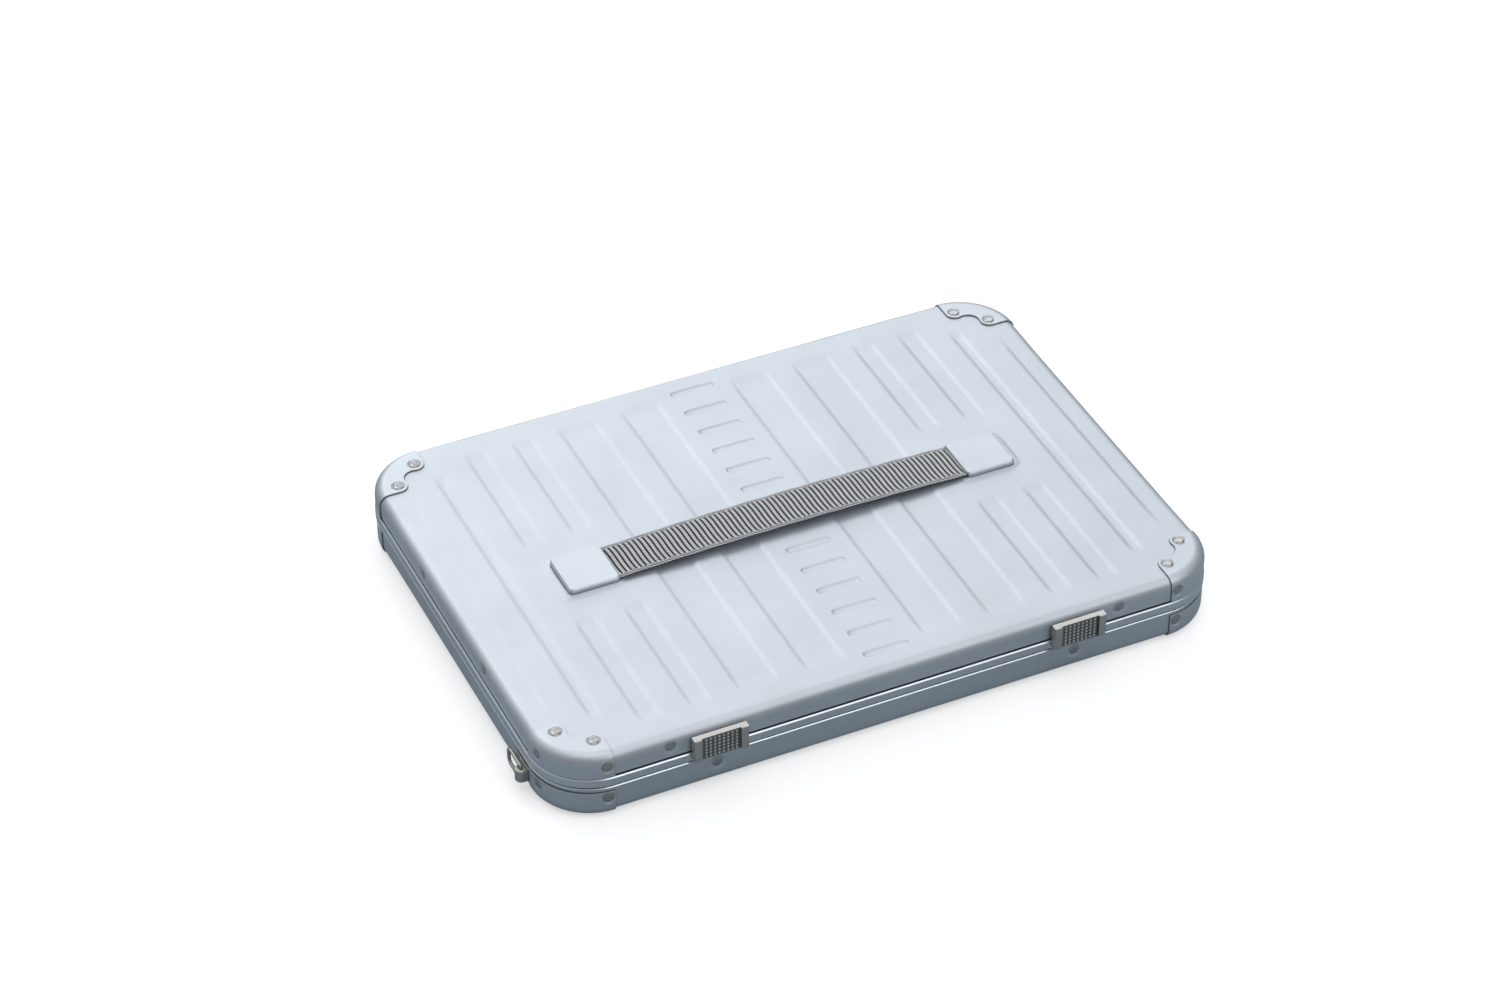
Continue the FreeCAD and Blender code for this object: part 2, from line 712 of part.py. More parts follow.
def base_liner():
    cuts = stud_holes(STAY_BASE, STUD_HEAD_RADIUS, LOWER_LINK_X)
    depth_y = (-DEPTH / 2, -DEPTH / 2 + LINER_INSET + LINER_WALL + MARGIN)
    for side in SIDES.values():
        x = (side * (LATCH_X - TOE_HALF - TOE_HOOK - KEEPER_GAP - KEEPER_LENGTH - MARGIN),
             side * (LATCH_X + TOE_HALF + LATCH_TRAVEL + MARGIN))
        cuts.append(block(x, depth_y, (BASE_WEB_BOTTOM, BASE_LINER_TOP + MARGIN)))
    return liner(BASE_LINER_BOTTOM, BASE_LINER_TOP,
                 BASE_LINER_BOTTOM, BASE_LINER_BOTTOM + LINER_FLOOR, cuts)


def knuckle(side, start, end, radius):
    """Part of a hinge barrel, between two distances from the hinge's middle."""
    origin = (side * HINGE_X + start, HINGE_AXIS_Y, PARTING)
    return rod(origin, (1, 0, 0), end - start, radius)


def hinge_leaf(side, on_lid):
    """Leaf with its knuckles; the base leaf has the two outer ones."""
    middle = side * HINGE_X
    x = (middle - HINGE_HALF, middle + HINGE_HALF)
    outer = LEAF_INNER_Y + LEAF_SHEET
    outer_knuckles = [(-HINGE_HALF, -KNUCKLE_HALF - KNUCKLE_GAP),
                      (KNUCKLE_HALF + KNUCKLE_GAP, HINGE_HALF)]
    inner_knuckle = [(-KNUCKLE_HALF, KNUCKLE_HALF)]
    if on_lid:
        plate_z = (PARTING, LID_LEAF_TOP)
        pad_z = (LID_PAN_BOTTOM, LID_LEAF_TOP)
        own, other = inner_knuckle, outer_knuckles
        rivet_z = LID_LEAF_RIVET_Z
    else:
        plate_z = (BASE_LEAF_BOTTOM, PARTING)
        pad_z = (BASE_LEAF_BOTTOM, BASE_PAN_TOP - FRAME_GAP)
        own, other = outer_knuckles, inner_knuckle
        rivet_z = BASE_LEAF_RIVET_Z
    plate = block(x, (LEAF_INNER_Y, outer), plate_z)
    pad = block(x, (DEPTH / 2, LEAF_INNER_Y), pad_z)
    room = [
        knuckle(side, start - KNUCKLE_GAP, end + KNUCKLE_GAP, KNUCKLE_RADIUS + KNUCKLE_GAP)
        for start, end in other
    ]
    bore = knuckle(side, -HINGE_HALF - MARGIN, HINGE_HALF + MARGIN, PIN_RADIUS + PIN_CLEARANCE)
    barrels = [knuckle(side, start, end, KNUCKLE_RADIUS) for start, end in own]
    leaf = plate.fuse(pad).cut(room).fuse(barrels)
    return leaf.cut(holes(hinge_rivet_places(rivet_z)) + [bore]).removeSplitter()


def hinge_pin(side):
    """Pin with a low head at each end."""
    pin = knuckle(side, -HINGE_HALF - KNUCKLE_GAP, HINGE_HALF + KNUCKLE_GAP, PIN_RADIUS)
    heads = [
        knuckle(side, start, start + PIN_HEAD, PIN_RADIUS + PIN_HEAD)
        for start in (-HINGE_HALF - KNUCKLE_GAP - PIN_HEAD, HINGE_HALF + KNUCKLE_GAP)
    ]
    return pin.fuse(heads)


def along(side, distances):
    """X values at distances outwards from a latch's middle."""
    return tuple(side * (LATCH_X + distance) for distance in distances)


def latch_thumb(side):
    """Slider that the thumb pushes: a block with two end ridges, and a stem through the wall."""
    body = block(along(side, (-LATCH_HALF, LATCH_HALF)), (LATCH_FRONT_Y, LATCH_BACK_Y),
                 (LATCH_BOTTOM, LATCH_TOP))
    edges = [
        edge for edge in body.Edges
        if abs(edge.BoundBox.YMin - LATCH_FRONT_Y) < TINY and edge.BoundBox.YLength < TINY
    ]
    body = body.makeFillet(LATCH_EDGE, edges)
    recess = block(along(side, (LATCH_RIDGE - LATCH_HALF, LATCH_HALF - LATCH_RIDGE)),
                   (LATCH_FRONT_Y - MARGIN, LATCH_FRONT_Y + LATCH_RECESS),
                   (LATCH_BOTTOM - MARGIN, LATCH_TOP + MARGIN))
    stem = block(along(side, (-STEM_HALF, STEM_HALF)), (LATCH_BACK_Y, BOLT_Y[1]), STEM_Z)
    return body.cut(recess).fuse(stem).removeSplitter()


def latch_bolt(side):
    """Inner plate that the stem carries, with a hooked toe that reaches into the base."""
    plate = block(along(side, (-BOLT_HALF, BOLT_HALF)), BOLT_Y, BOLT_Z)
    toe = block(along(side, (-TOE_HALF, TOE_HALF)), BOLT_Y, (TOE_Z[0], BOLT_Z[0]))
    hook = block(along(side, (-TOE_HALF - TOE_HOOK, TOE_HALF)), BOLT_Y, TOE_Z)
    socket = block(along(side, (-STEM_HALF, STEM_HALF)), (BOLT_Y[0] - MARGIN, BOLT_Y[1] + MARGIN),
                   STEM_Z)
    return plate.fuse([toe, hook]).cut(socket).removeSplitter()


def latch_keeper(side):
    """Catch on the base frame, with the tab that the frame rivet holds."""
    inner = -DEPTH / 2 + WEB_INNER_INSET
    start = -TOE_HALF - TOE_HOOK - KEEPER_GAP
    catch = block(along(side, (start - KEEPER_LENGTH, start)), (inner, BOLT_Y[1]), KEEPER_Z)
    tab = block(along(side, (start - KEEPER_LENGTH, start - KEEPER_LENGTH / 2)),
                (inner, inner + SHEET), (KEEPER_TAB_BOTTOM, KEEPER_Z[0]))
    return catch.fuse(tab).removeSplitter()


def latch_spring(side):
    """Coil spring that pushes the bolt back from its post."""
    coil_length = SPRING_LENGTH - 2 * (SPRING_WIRE_RADIUS + SPRING_GAP)
    pitch = coil_length / SPRING_TURNS
    helix = Part.makeHelix(pitch, coil_length, SPRING_RADIUS)
    start = Vector(SPRING_RADIUS, 0, 0)
    direction = Vector(0, 2 * math.pi * SPRING_RADIUS, pitch)
    section = Part.Wire([Part.makeCircle(SPRING_WIRE_RADIUS, start, direction)])
    coil = Part.Wire(helix.Edges).makePipeShell([section], True, True)
    coil.rotate(Vector(0, 0, 0), Vector(0, 1, 0), 90 * side)
    x = side * (LATCH_X + BOLT_HALF + SPRING_WIRE_RADIUS + SPRING_GAP)
    y = BOLT_Y[0] + SPRING_RADIUS + SPRING_WIRE_RADIUS
    coil.translate(Vector(x, y, SPRING_Z))
    return coil


def spring_posts():
    """Stops on the lid frame that the latch springs push against."""
    inner = -DEPTH / 2 + WEB_INNER_INSET
    start = BOLT_HALF + SPRING_LENGTH + SPRING_GAP
    half = SPRING_RADIUS + SPRING_WIRE_RADIUS
    reach = inner + 2 * half
    return Part.makeCompound([
        block(along(side, (start, start + POST_LENGTH)), (inner, reach),
              (SPRING_Z - half, SPRING_Z + half))
        for side in SIDES.values()
    ])


def ring_rivet_places():
    return [
        ((side * (WIDTH / 2 + RING_PLATE_SHEET), RING_RIVET_Y, RING_Z), (side, 0, 0))
        for side in SIDES.values()
    ]


def ring_rivet_holes():
    return holes(ring_rivet_places())


def ring_bracket(side):
    """Riveted plate with an upright drum that the shoulder strap ring turns in."""
    z = (RING_Z - DRUM_HALF, RING_Z + DRUM_HALF)
    outer = WIDTH / 2 + RING_PLATE_SHEET
    plate = block((side * WIDTH / 2, side * outer), RING_PLATE_Y,
                  (RING_Z - RING_PLATE_HALF, RING_Z + RING_PLATE_HALF))
    neck = block((side * outer, side * RING_X), NECK_Y, z)
    drum = rod((side * RING_X, RING_Y, z[0]), (0, 0, 1), 2 * DRUM_HALF, DRUM_RADIUS)
    bore = rod((side * RING_X, RING_Y, z[0] - MARGIN), (0, 0, 1), 2 * (DRUM_HALF + MARGIN),
               RING_WIRE + DRUM_CLEARANCE)
    circles = [edge for edge in drum.Edges if edge.BoundBox.ZLength < TINY]
    drum = drum.makeFillet(DRUM_EDGE, circles)
    return plate.fuse([neck, drum]).cut([bore] + ring_rivet_holes()).removeSplitter()


def shoulder_ring(side):
    """Closed wire loop whose front leg turns in the drum; at rest it lies along the wall."""
    half = DRUM_HALF + DRUM_GAP + RING_WIRE
    bend_front = RING_WIRE + RING_BEND_GAP
    front = RING_Y
    rear = RING_Y + RING_LENGTH

    def bend(y, z, sign_y, sign_z, radius):
        """Quarter turn whose outer corner is at (y, z)."""
        centre = (y - sign_y * radius, z - sign_z * radius)
        diagonal = radius * math.sqrt(0.5)
        return (
            Vector(side * RING_X, centre[0], z),
            Vector(side * RING_X, centre[0] + sign_y * diagonal, centre[1] + sign_z * diagonal),
            Vector(side * RING_X, y, centre[1]),
        )

    low, high = RING_Z - half, RING_Z + half
    upper_rear = bend(rear, high, 1, 1, RING_REAR_BEND)
    lower_rear = bend(rear, low, 1, -1, RING_REAR_BEND)
    lower_front = bend(front, low, -1, -1, bend_front)
    upper_front = bend(front, high, -1, 1, bend_front)
    edges = [
        Part.makeLine(upper_front[0], upper_rear[0]),
        Part.Arc(*upper_rear).toShape(),
        Part.makeLine(upper_rear[2], lower_rear[2]),
        Part.Arc(*reversed(lower_rear)).toShape(),
        Part.makeLine(lower_rear[0], lower_front[0]),
        Part.Arc(*lower_front).toShape(),
        Part.makeLine(lower_front[2], upper_front[2]),
        Part.Arc(*reversed(upper_front)).toShape(),
    ]
    start = upper_front[0]
    middle = (start + upper_rear[0]) * 0.5
    edges[0] = Part.makeLine(middle, upper_rear[0])
    edges.append(Part.makeLine(start, middle))
    section = Part.Wire([Part.makeCircle(RING_WIRE, middle, Vector(0, 1, 0))])
    return Part.Wire(edges).makePipeShell([section], True, True)


def link(side, start, end, inner_x):
    """Flat link with an eye at each end, in the plane of a side wall."""
    half = LINK_WIDTH / 2
    span = Vector(0, end[0] - start[0], end[1] - start[1])
    across = Vector(0, -span.z, span.y).normalize() * half
    x = side * inner_x
    ends = [Vector(x, *start), Vector(x, *end)]
    corners = [ends[0] + across, ends[1] + across, ends[1] - across, ends[0] - across]
    bar = Part.Face(Part.makePolygon(corners + corners[:1]))
    bar = bar.extrude(Vector(side * LINK_SHEET, 0, 0))
    eyes = [rod(tuple(point), (side, 0, 0), LINK_SHEET, half) for point in ends]
    bores = [
        rod((point.x - side * MARGIN, point.y, point.z), (side, 0, 0), LINK_SHEET + 2 * MARGIN,
            STUD_RADIUS + STUD_CLEARANCE)
        for point in ends
    ]
    return bar.fuse(eyes).cut(bores).removeSplitter()


def stay_knee():
    """Where the two links of a stay meet, which closes the parallelogram."""
    return (STAY_BASE[0] + STAY_LID[0] - HINGE_AXIS_Y, STAY_BASE[1] + STAY_LID[1] - PARTING)


def stay_studs(place, link_x):
    """Headed studs in a frame's side webs that one end of each stay turns on."""
    studs = []
    web = WIDTH / 2 - WEB_OUTER_INSET
    for side in SIDES.values():
        head_x = link_x - LAYER_GAP
        shank = rod((side * head_x, *place), (side, 0, 0), web - head_x, STUD_RADIUS)
        head = rod((side * head_x, *place), (-side, 0, 0), STUD_HEAD, STUD_HEAD_RADIUS)
        studs.append(shank.fuse(head))
    return Part.makeCompound(studs)


def knee_rivet(side):
    """Rivet through the knee of a stay, with a low head on each side."""
    knee = stay_knee()
    inner = UPPER_LINK_X - LAYER_GAP
    outer = LOWER_LINK_X + LINK_SHEET + LAYER_GAP
    shank = rod((side * inner, *knee), (side, 0, 0), outer - inner, STUD_RADIUS)
    inner_head = rod((side * inner, *knee), (-side, 0, 0), STUD_HEAD, STUD_HEAD_RADIUS)
    outer_head = rod((side * outer, *knee), (side, 0, 0), KNEE_OUTER_HEAD, STUD_HEAD_RADIUS)
    return shank.fuse([inner_head, outer_head])


def all_parts():
    """Every node of the case, by name."""
    sheet_grip = CAP_SHEET - DIMPLE_DEPTH + SHEET
    wall_grip = CAP_SHEET - DIMPLE_DEPTH + WEB_INNER_INSET
    frame_grip = WEB_INNER_INSET - DIMPLE_DEPTH
    leaf_grip = WEB_INNER_INSET + LEAF_STAND + LEAF_SHEET - DIMPLE_DEPTH
    ring_grip = RING_PLATE_SHEET - DIMPLE_DEPTH + WEB_INNER_INSET
    lid_top = LID_PAN_TOP + CAP_SHEET
    parts = {
        "lid_shell": lid_pan(),
        "lid_frame": lid_frame(),
        "lid_seal": frame_seal(),
        "lid_liner": lid_liner(),
        "lid_corner_rivets": rivets(panel_rivet_places(lid_top, 1), sheet_grip, True),
        "lid_corner_wall_rivets": rivets(wall_rivet_places(LID_WALL_RIVET_Z), wall_grip),
        "lid_frame_rivets": rivets(lid_frame_rivet_places(), frame_grip),
        "lid_hinge_rivets": rivets(hinge_rivet_places(LID_LEAF_RIVET_Z), leaf_grip),
        "hand_strap": hand_strap(),
        "strap_backing_plates": strap_backing(),
        "strap_plate_rivets": strap_fixings(),
        "latch_spring_posts": spring_posts(),
        "lid_stay_studs": stay_studs(STAY_LID, UPPER_LINK_X),
        "base_shell": base_pan(),
        "base_frame": base_frame(),
        "base_liner": base_liner(),
        "base_corner_rivets": rivets(panel_rivet_places(0.0, -1), sheet_grip, True),
        "base_corner_wall_rivets": rivets(wall_rivet_places(BASE_WALL_RIVET_Z), wall_grip),
        "base_frame_rivets": rivets(base_frame_rivet_places(), frame_grip),
        "base_hinge_rivets": rivets(hinge_rivet_places(BASE_LEAF_RIVET_Z), leaf_grip),
        "ring_bracket_rivets": rivets(ring_rivet_places(), ring_grip),
        "base_stay_studs": stay_studs(STAY_BASE, LOWER_LINK_X),
    }
    lid_cuts = holes(panel_rivet_places(lid_top, 1)) + holes(wall_rivet_places(LID_WALL_RIVET_Z))
    base_cuts = holes(panel_rivet_places(0.0, -1)) + holes(wall_rivet_places(BASE_WALL_RIVET_Z))
    parts.update(corner_caps("lid", LID_PAN_TOP - LID_PAN_BOTTOM, 0.0, to_lid, lid_cuts))
    parts.update(corner_caps("base", BASE_PAN_TOP - BASE_PAN_BOTTOM,
                             BASE_PAN_TOP - BASE_CAP_TOP, to_base, base_cuts))
    knee = stay_knee()
    for name, side in SIDES.items():
        parts["strap_plate_" + name] = strap_plate(side)
        parts["hinge_lid_leaf_" + name] = hinge_leaf(side, True)
        parts["hinge_base_leaf_" + name] = hinge_leaf(side, False)
        parts["hinge_pin_" + name] = hinge_pin(side)
        parts["latch_thumb_" + name] = latch_thumb(side)
        parts["latch_bolt_" + name] = latch_bolt(side)
        parts["latch_keeper_" + name] = latch_keeper(side)
        parts["latch_spring_" + name] = latch_spring(side)
        parts["ring_bracket_" + name] = ring_bracket(side)
        parts["shoulder_ring_" + name] = shoulder_ring(side)
        parts["stay_lower_link_" + name] = link(side, STAY_BASE, knee, LOWER_LINK_X)
        parts["stay_upper_link_" + name] = link(side, knee, STAY_LID, UPPER_LINK_X)
        parts["stay_knee_rivet_" + name] = knee_rivet(side)
    return parts


os.makedirs("parts", exist_ok=True)
for node, shape in all_parts().items():
    shape.exportStep("parts/" + node + ".step")
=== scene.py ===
import json
import math

import bmesh
import bpy
import numpy as np
from mathutils import Matrix, Vector


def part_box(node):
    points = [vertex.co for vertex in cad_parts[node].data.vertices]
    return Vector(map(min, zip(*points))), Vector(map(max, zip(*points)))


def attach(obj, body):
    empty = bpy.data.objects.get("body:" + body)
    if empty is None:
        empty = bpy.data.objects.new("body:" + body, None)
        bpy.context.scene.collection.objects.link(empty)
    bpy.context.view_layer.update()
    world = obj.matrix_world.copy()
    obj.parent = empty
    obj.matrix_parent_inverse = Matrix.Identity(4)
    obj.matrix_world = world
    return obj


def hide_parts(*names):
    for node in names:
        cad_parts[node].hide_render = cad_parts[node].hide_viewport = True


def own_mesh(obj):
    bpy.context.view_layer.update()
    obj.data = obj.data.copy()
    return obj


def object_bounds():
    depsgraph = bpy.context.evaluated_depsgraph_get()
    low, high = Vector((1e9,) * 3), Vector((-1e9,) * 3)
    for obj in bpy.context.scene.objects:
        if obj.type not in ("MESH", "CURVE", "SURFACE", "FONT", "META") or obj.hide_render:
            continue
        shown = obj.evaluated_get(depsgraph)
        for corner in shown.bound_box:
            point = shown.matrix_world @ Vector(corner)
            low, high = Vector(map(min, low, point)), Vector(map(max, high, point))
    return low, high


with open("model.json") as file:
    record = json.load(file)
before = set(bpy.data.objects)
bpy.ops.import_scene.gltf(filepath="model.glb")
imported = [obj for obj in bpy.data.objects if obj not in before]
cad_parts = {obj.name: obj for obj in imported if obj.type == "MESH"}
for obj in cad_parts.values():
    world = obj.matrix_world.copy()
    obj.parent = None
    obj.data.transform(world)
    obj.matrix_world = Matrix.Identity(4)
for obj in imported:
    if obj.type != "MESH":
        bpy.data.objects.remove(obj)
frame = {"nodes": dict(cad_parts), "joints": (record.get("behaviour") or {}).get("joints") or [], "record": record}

# Looks of a slim pressed-aluminium carry case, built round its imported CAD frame.
# Places come from the CAD boxes. Lengths below are in millimetres and become metres by MM.
MM = 0.001
CAD_LOW, CAD_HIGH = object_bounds()
SIDES = {"left": -1, "right": 1}
ENDS = {"front": -1, "rear": 1}

# Plan of both pans, from the CAD
PAN_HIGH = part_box("base_shell")[1]
HALF_X = PAN_HIGH.x / MM
HALF_Y = PAN_HIGH.y / MM
CORNER = 30.0
EDGE = 5.0
SHEET = 1.0
INNER_X = HALF_X - CORNER
INNER_Y = HALF_Y - CORNER

# Fineness of the pressed sheet's mesh: lengths between points, and counts round curves
FINE = 0.5
COARSE = 4.0
STEPS_PER_RAMP = 7
CORNER_STEPS = 20
EDGE_STEPS = 10
WALL_STEP = 0.6

# Pressed forms: height, width of the sloping border, and length over which a rib's end fades
RIB_HEIGHT = -0.6
RIB_RAMP = 3.2
RIB_FADE = 9.0
RIB_ROUND = 1.6
STEP_FADE = 22.0
LOUVRE_HEIGHT = -0.6
LOUVRE_RAMP = 1.2
BOSS_HEIGHT = 0.7
BOSS_RAMP = 3.2
BOSS_ROUND = 6.0
DIMPLE_DEPTH = 0.55
DIMPLE_FLOOR = 2.8
DIMPLE_MOUTH = 4.2

# Seam: black rubber cords that paint the shade in the seam gaps: the seal's lip in the parting line, and a bead
# between the lid pan and its frame.
# An inset is a distance inwards from the outer face of the pan's wall.
PARTING = next(joint["pos_m"][2] for joint in frame["joints"] if joint["name"] == "lid_hinge") / MM
BAND_GAP = 0.4
RIM_GAP = 0.4
SHADOW_BEAD_CLEARANCE = 0.03
SHADOW_BEAD_OUTER_INSET = -0.05
SHADOW_LIP_OUTER_INSET = -0.5
PLAN_STEP = 6.0

# Rivet heads
HEAD_RADIUS = 2.6
HEAD_HEIGHT = 0.5
SHANK_RADIUS = 1.55

# Webbing: size and slant of its stitches, width of the selvedge, depth of the relief, and
# how much the rows of stitches bend and waver across the strap
STITCH_LENGTH = 1.65
STITCH_WIDTH = 2.55
STITCH_SLANT = 0.8
SELVEDGE = 2.4
WEAVE_RELIEF = 0.45
WEAVE_BEND = 1.1
WEAVE_WAVE = 0.25
WEAVE_STEP = 0.25

# Bare aluminium of the pans; the caps and frames are made from it too
PANEL_COLOR = (0.74, 0.785, 0.84)

# Padding: distance between the points of its sheet, points between seams, and most swelling
PAD_CELL = 4.0
PAD_SEAM_EVERY = 8
PAD_RISE_CAP = 2.4


# ---------------------------------------------------------------- mesh helpers

def new_piece(name, points, faces, body, material, sharp=40.0):
    """Mesh object from points in millimetres, smooth except at sharp edges."""
    mesh = bpy.data.meshes.new(name)
    mesh.from_pydata([tuple(point) for point in np.asarray(points) * MM], [], faces)
    return dress(link_mesh(name, mesh), body, material, sharp)


def link_mesh(name, mesh):
    """Object that shows a mesh, put into the scene."""
    piece = bpy.data.objects.new(name, mesh)
    bpy.context.scene.collection.objects.link(piece)
    return piece


def dress(piece, body, material, sharp=40.0):
    """Shade a piece smooth, give it its material and fix it to its body."""
    piece.data.polygons.foreach_set("use_smooth", [True] * len(piece.data.polygons))
    piece.data.set_sharp_from_angle(angle=math.radians(sharp))
    piece.data.materials.clear()
    piece.data.materials.append(material)
    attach(piece, body)
    return piece


def weld(mesh, distance=2e-6, closed=False):
    """Join coincident points; a closed mesh also gets all its faces turned outwards."""
    work = bmesh.new()
    work.from_mesh(mesh)
    bmesh.ops.remove_doubles(work, verts=work.verts, dist=distance)
    if closed:
        bmesh.ops.recalc_face_normals(work, faces=work.faces)
    work.to_mesh(mesh)
    work.free()


def apply_modifiers(piece):
    """Replace a piece's mesh by its evaluated mesh."""
    bpy.context.view_layer.update()
    graph = bpy.context.evaluated_depsgraph_get()
    mesh = bpy.data.meshes.new_from_object(piece.evaluated_get(graph))
    piece.modifiers.clear()
    piece.data = mesh


def grid_faces(rows, columns, closed=False):
    """Quads of a rows x columns table of points; closed joins the last column to the first."""
    index = np.arange(rows * columns).reshape(rows, columns)
    if closed:
        index = np.hstack([index, index[:, :1]])
    a, b = index[:-1, :-1], index[:-1, 1:]
    c, d = index[1:, 1:], index[1:, :-1]
    return np.stack([a, b, c, d], axis=-1).reshape(-1, 4)


def spaced(low, high, bands, coarse):
    """Values from low to high: each band (start, end, step) is at least as fine as its step."""
    stops = {low, high}
    for start, end, _ in bands:
        stops.update(value for value in (start, end) if low < value < high)
    stops = sorted(stops)
    values = []
    for start, end in zip(stops, stops[1:]):
        middle = (start + end) / 2
        step = min([coarse] + [fine for a, b, fine in bands if a <= middle <= b])
        count = max(1, math.ceil((end - start) / step - 1e-6))
        values.extend(np.linspace(start, end, count, endpoint=False))
    values.append(high)
    return np.array(values)


def smooth(t):
    """Ease from 0 to 1 as t goes from 0 to 1, level at both ends."""
    t = np.clip(t, 0.0, 1.0)
    return t * t * (3 - 2 * t)


# ---------------------------------------------------------------- pressed pans

class Form:
    """One pressed form of a panel: a rounded rectangle, raised or sunk, with a sloping border."""

    def __init__(self, x, y, height, ramp, corner, fade=0.0):
        self.x, self.y = sorted(x), sorted(y)
        self.height, self.ramp, self.corner, self.fade = height, ramp, corner, fade

    def relief(self, x, y):
        half = [(self.x[1] - self.x[0]) / 2, (self.y[1] - self.y[0]) / 2]
        across = np.abs(x - sum(self.x) / 2)
        along = np.abs(y - sum(self.y) / 2)
        dx = across - half[0] + self.corner
        dy = along - half[1] + self.corner
        outside = np.hypot(np.maximum(dx, 0), np.maximum(dy, 0))
        distance = outside + np.minimum(np.maximum(dx, dy), 0) - self.corner
        height = self.height * smooth(0.5 - distance / self.ramp)
        if self.fade:
            height = height * smooth((half[1] - along) / self.fade)
        return height

    def bands(self, axis):
        reach = self.ramp / 2 + 0.2
        step = min(FINE, self.ramp / STEPS_PER_RAMP)
        ends = self.x if axis == 0 else self.y
        return [(value - reach, value + reach, step) for value in ends]


def panel_ribs():
    """The ribs and side fields that both panels share, as the CAD has them."""
    outer_rib = (139.7, 144.7)
    split_ribs = ((114.7, 124.5), (89.5, 99.4))
    long_ribs = ((55.1, 74.3), (20.8, 40.1))
    long_end, short_start, outer_end = 111.5, 28.0, 100.0
    step_start, step_end = 161.2, 88.5
    forms = []
    for side in SIDES.values():
        spans = [(outer_rib, (-outer_end, outer_end))]
        spans += [(x, (-long_end, long_end)) for x in long_ribs]
        for x in split_ribs:
            spans += [(x, (short_start, long_end)), (x, (-long_end, -short_start))]
        for x, y in spans:
            forms.append(Form((side * x[0], side * x[1]), y, RIB_HEIGHT, RIB_RAMP,
                              RIB_ROUND, RIB_FADE))
        forms.append(Form((side * step_start, side * (HALF_X + CORNER)), (-step_end, step_end),
                          RIB_HEIGHT, RIB_RAMP, RIB_ROUND, STEP_FADE))
    return forms


def panel_louvres():
    """Short pressed bars in two rows, in front of and behind the strap."""
    half_length, width, first, pitch, count = 11.5, 3.6, 26.0, 17.0, 6
    forms = []
    for end in ENDS.values():
        for step in range(count):
            middle = end * (first + pitch * step)
            forms.append(Form((-half_length, half_length), (middle - width / 2, middle + width / 2),
                              LOUVRE_HEIGHT, LOUVRE_RAMP, width / 2 - 0.05))
    return forms


def strap_bosses():
    """Raised fields under the strap plates."""
    margin_x, margin_y = 2.9, 1.6
    forms = []
    for name in SIDES:
        low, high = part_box("strap_plate_" + name)
        forms.append(Form((low.x / MM - margin_x, high.x / MM + margin_x),
                          (low.y / MM - margin_y, high.y / MM + margin_y),
                          BOSS_HEIGHT, BOSS_RAMP, BOSS_ROUND))
    return forms


def rivet_centres(node, spread=9.0):
    """Middle points of a group's rivets, in millimetres: points closer than the spread are one."""
    points = np.array([vertex.co for vertex in frame["nodes"][node].data.vertices]) / MM
    centres = []
    while len(points):
        near = np.linalg.norm(points - points[0], axis=1) < spread
        group = points[near]
        centres.append(((group.min(0) + group.max(0)) / 2, group))
        points = points[~near]
    return centres


def outward(point):
    """Unit direction in plan from the case's inner rectangle to a point near its wall."""
    inner = Vector((max(-INNER_X, min(INNER_X, point[0])), max(-INNER_Y, min(INNER_Y, point[1]))))
    return (Vector(point[:2]) - inner).normalized()


def wall_rivets(*nodes):
    """(side, distance along the wall, height) of the rivets on the straight walls."""
    found = []
    for node in nodes:
        for centre, _ in rivet_centres(node):
            direction = outward(centre)
            if abs(direction.x) > 0.99:
                found.append(((int(round(direction.x)), 0), centre[1], centre[2]))
            if abs(direction.y) > 0.99:
                found.append(((0, int(round(direction.y))), centre[0], centre[2]))
    return found


def latch_slots():
    """Openings in the lid's front wall that the latch stems slide in, as x and z ranges."""
    stem_half, gap, travel, stem_low, stem_high = 4.0, 0.3, 6.0, 4.7, 8.7
    slots = []
    for name, side in SIDES.items():
        low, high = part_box("latch_thumb_" + name)
        middle = (low.x + high.x) / 2 / MM
        ends = sorted((middle - side * (stem_half + gap), middle + side * (stem_half + gap + travel)))
        bottom = low.z / MM
        slots.append((ends, (bottom + stem_low - gap, bottom + stem_high + gap)))
    return slots


def pan_stations(x_values, y_values):
    """Points round the inner rectangle, each with its outward direction, counter-clockwise."""
    base, direction = [], []

    def side(xs, ys, out):
        for x, y in zip(xs, ys):
            base.append((x, y))
            direction.append(out)

    def corner(x, y, start):
        for step in range(1, CORNER_STEPS):
            angle = start + math.pi / 2 * step / CORNER_STEPS
            base.append((x, y))
            direction.append((math.cos(angle), math.sin(angle)))

    side(x_values, np.full(len(x_values), -INNER_Y), (0, -1))
    corner(INNER_X, -INNER_Y, -math.pi / 2)
    side(np.full(len(y_values), INNER_X), y_values, (1, 0))
    corner(INNER_X, INNER_Y, 0)
    side(x_values[::-1], np.full(len(x_values), INNER_Y), (0, 1))
    corner(-INNER_X, INNER_Y, math.pi / 2)
    side(np.full(len(y_values), -INNER_X), y_values[::-1], (-1, 0))
    corner(-INNER_X, -INNER_Y, math.pi)
    return np.array(base), np.array(direction)


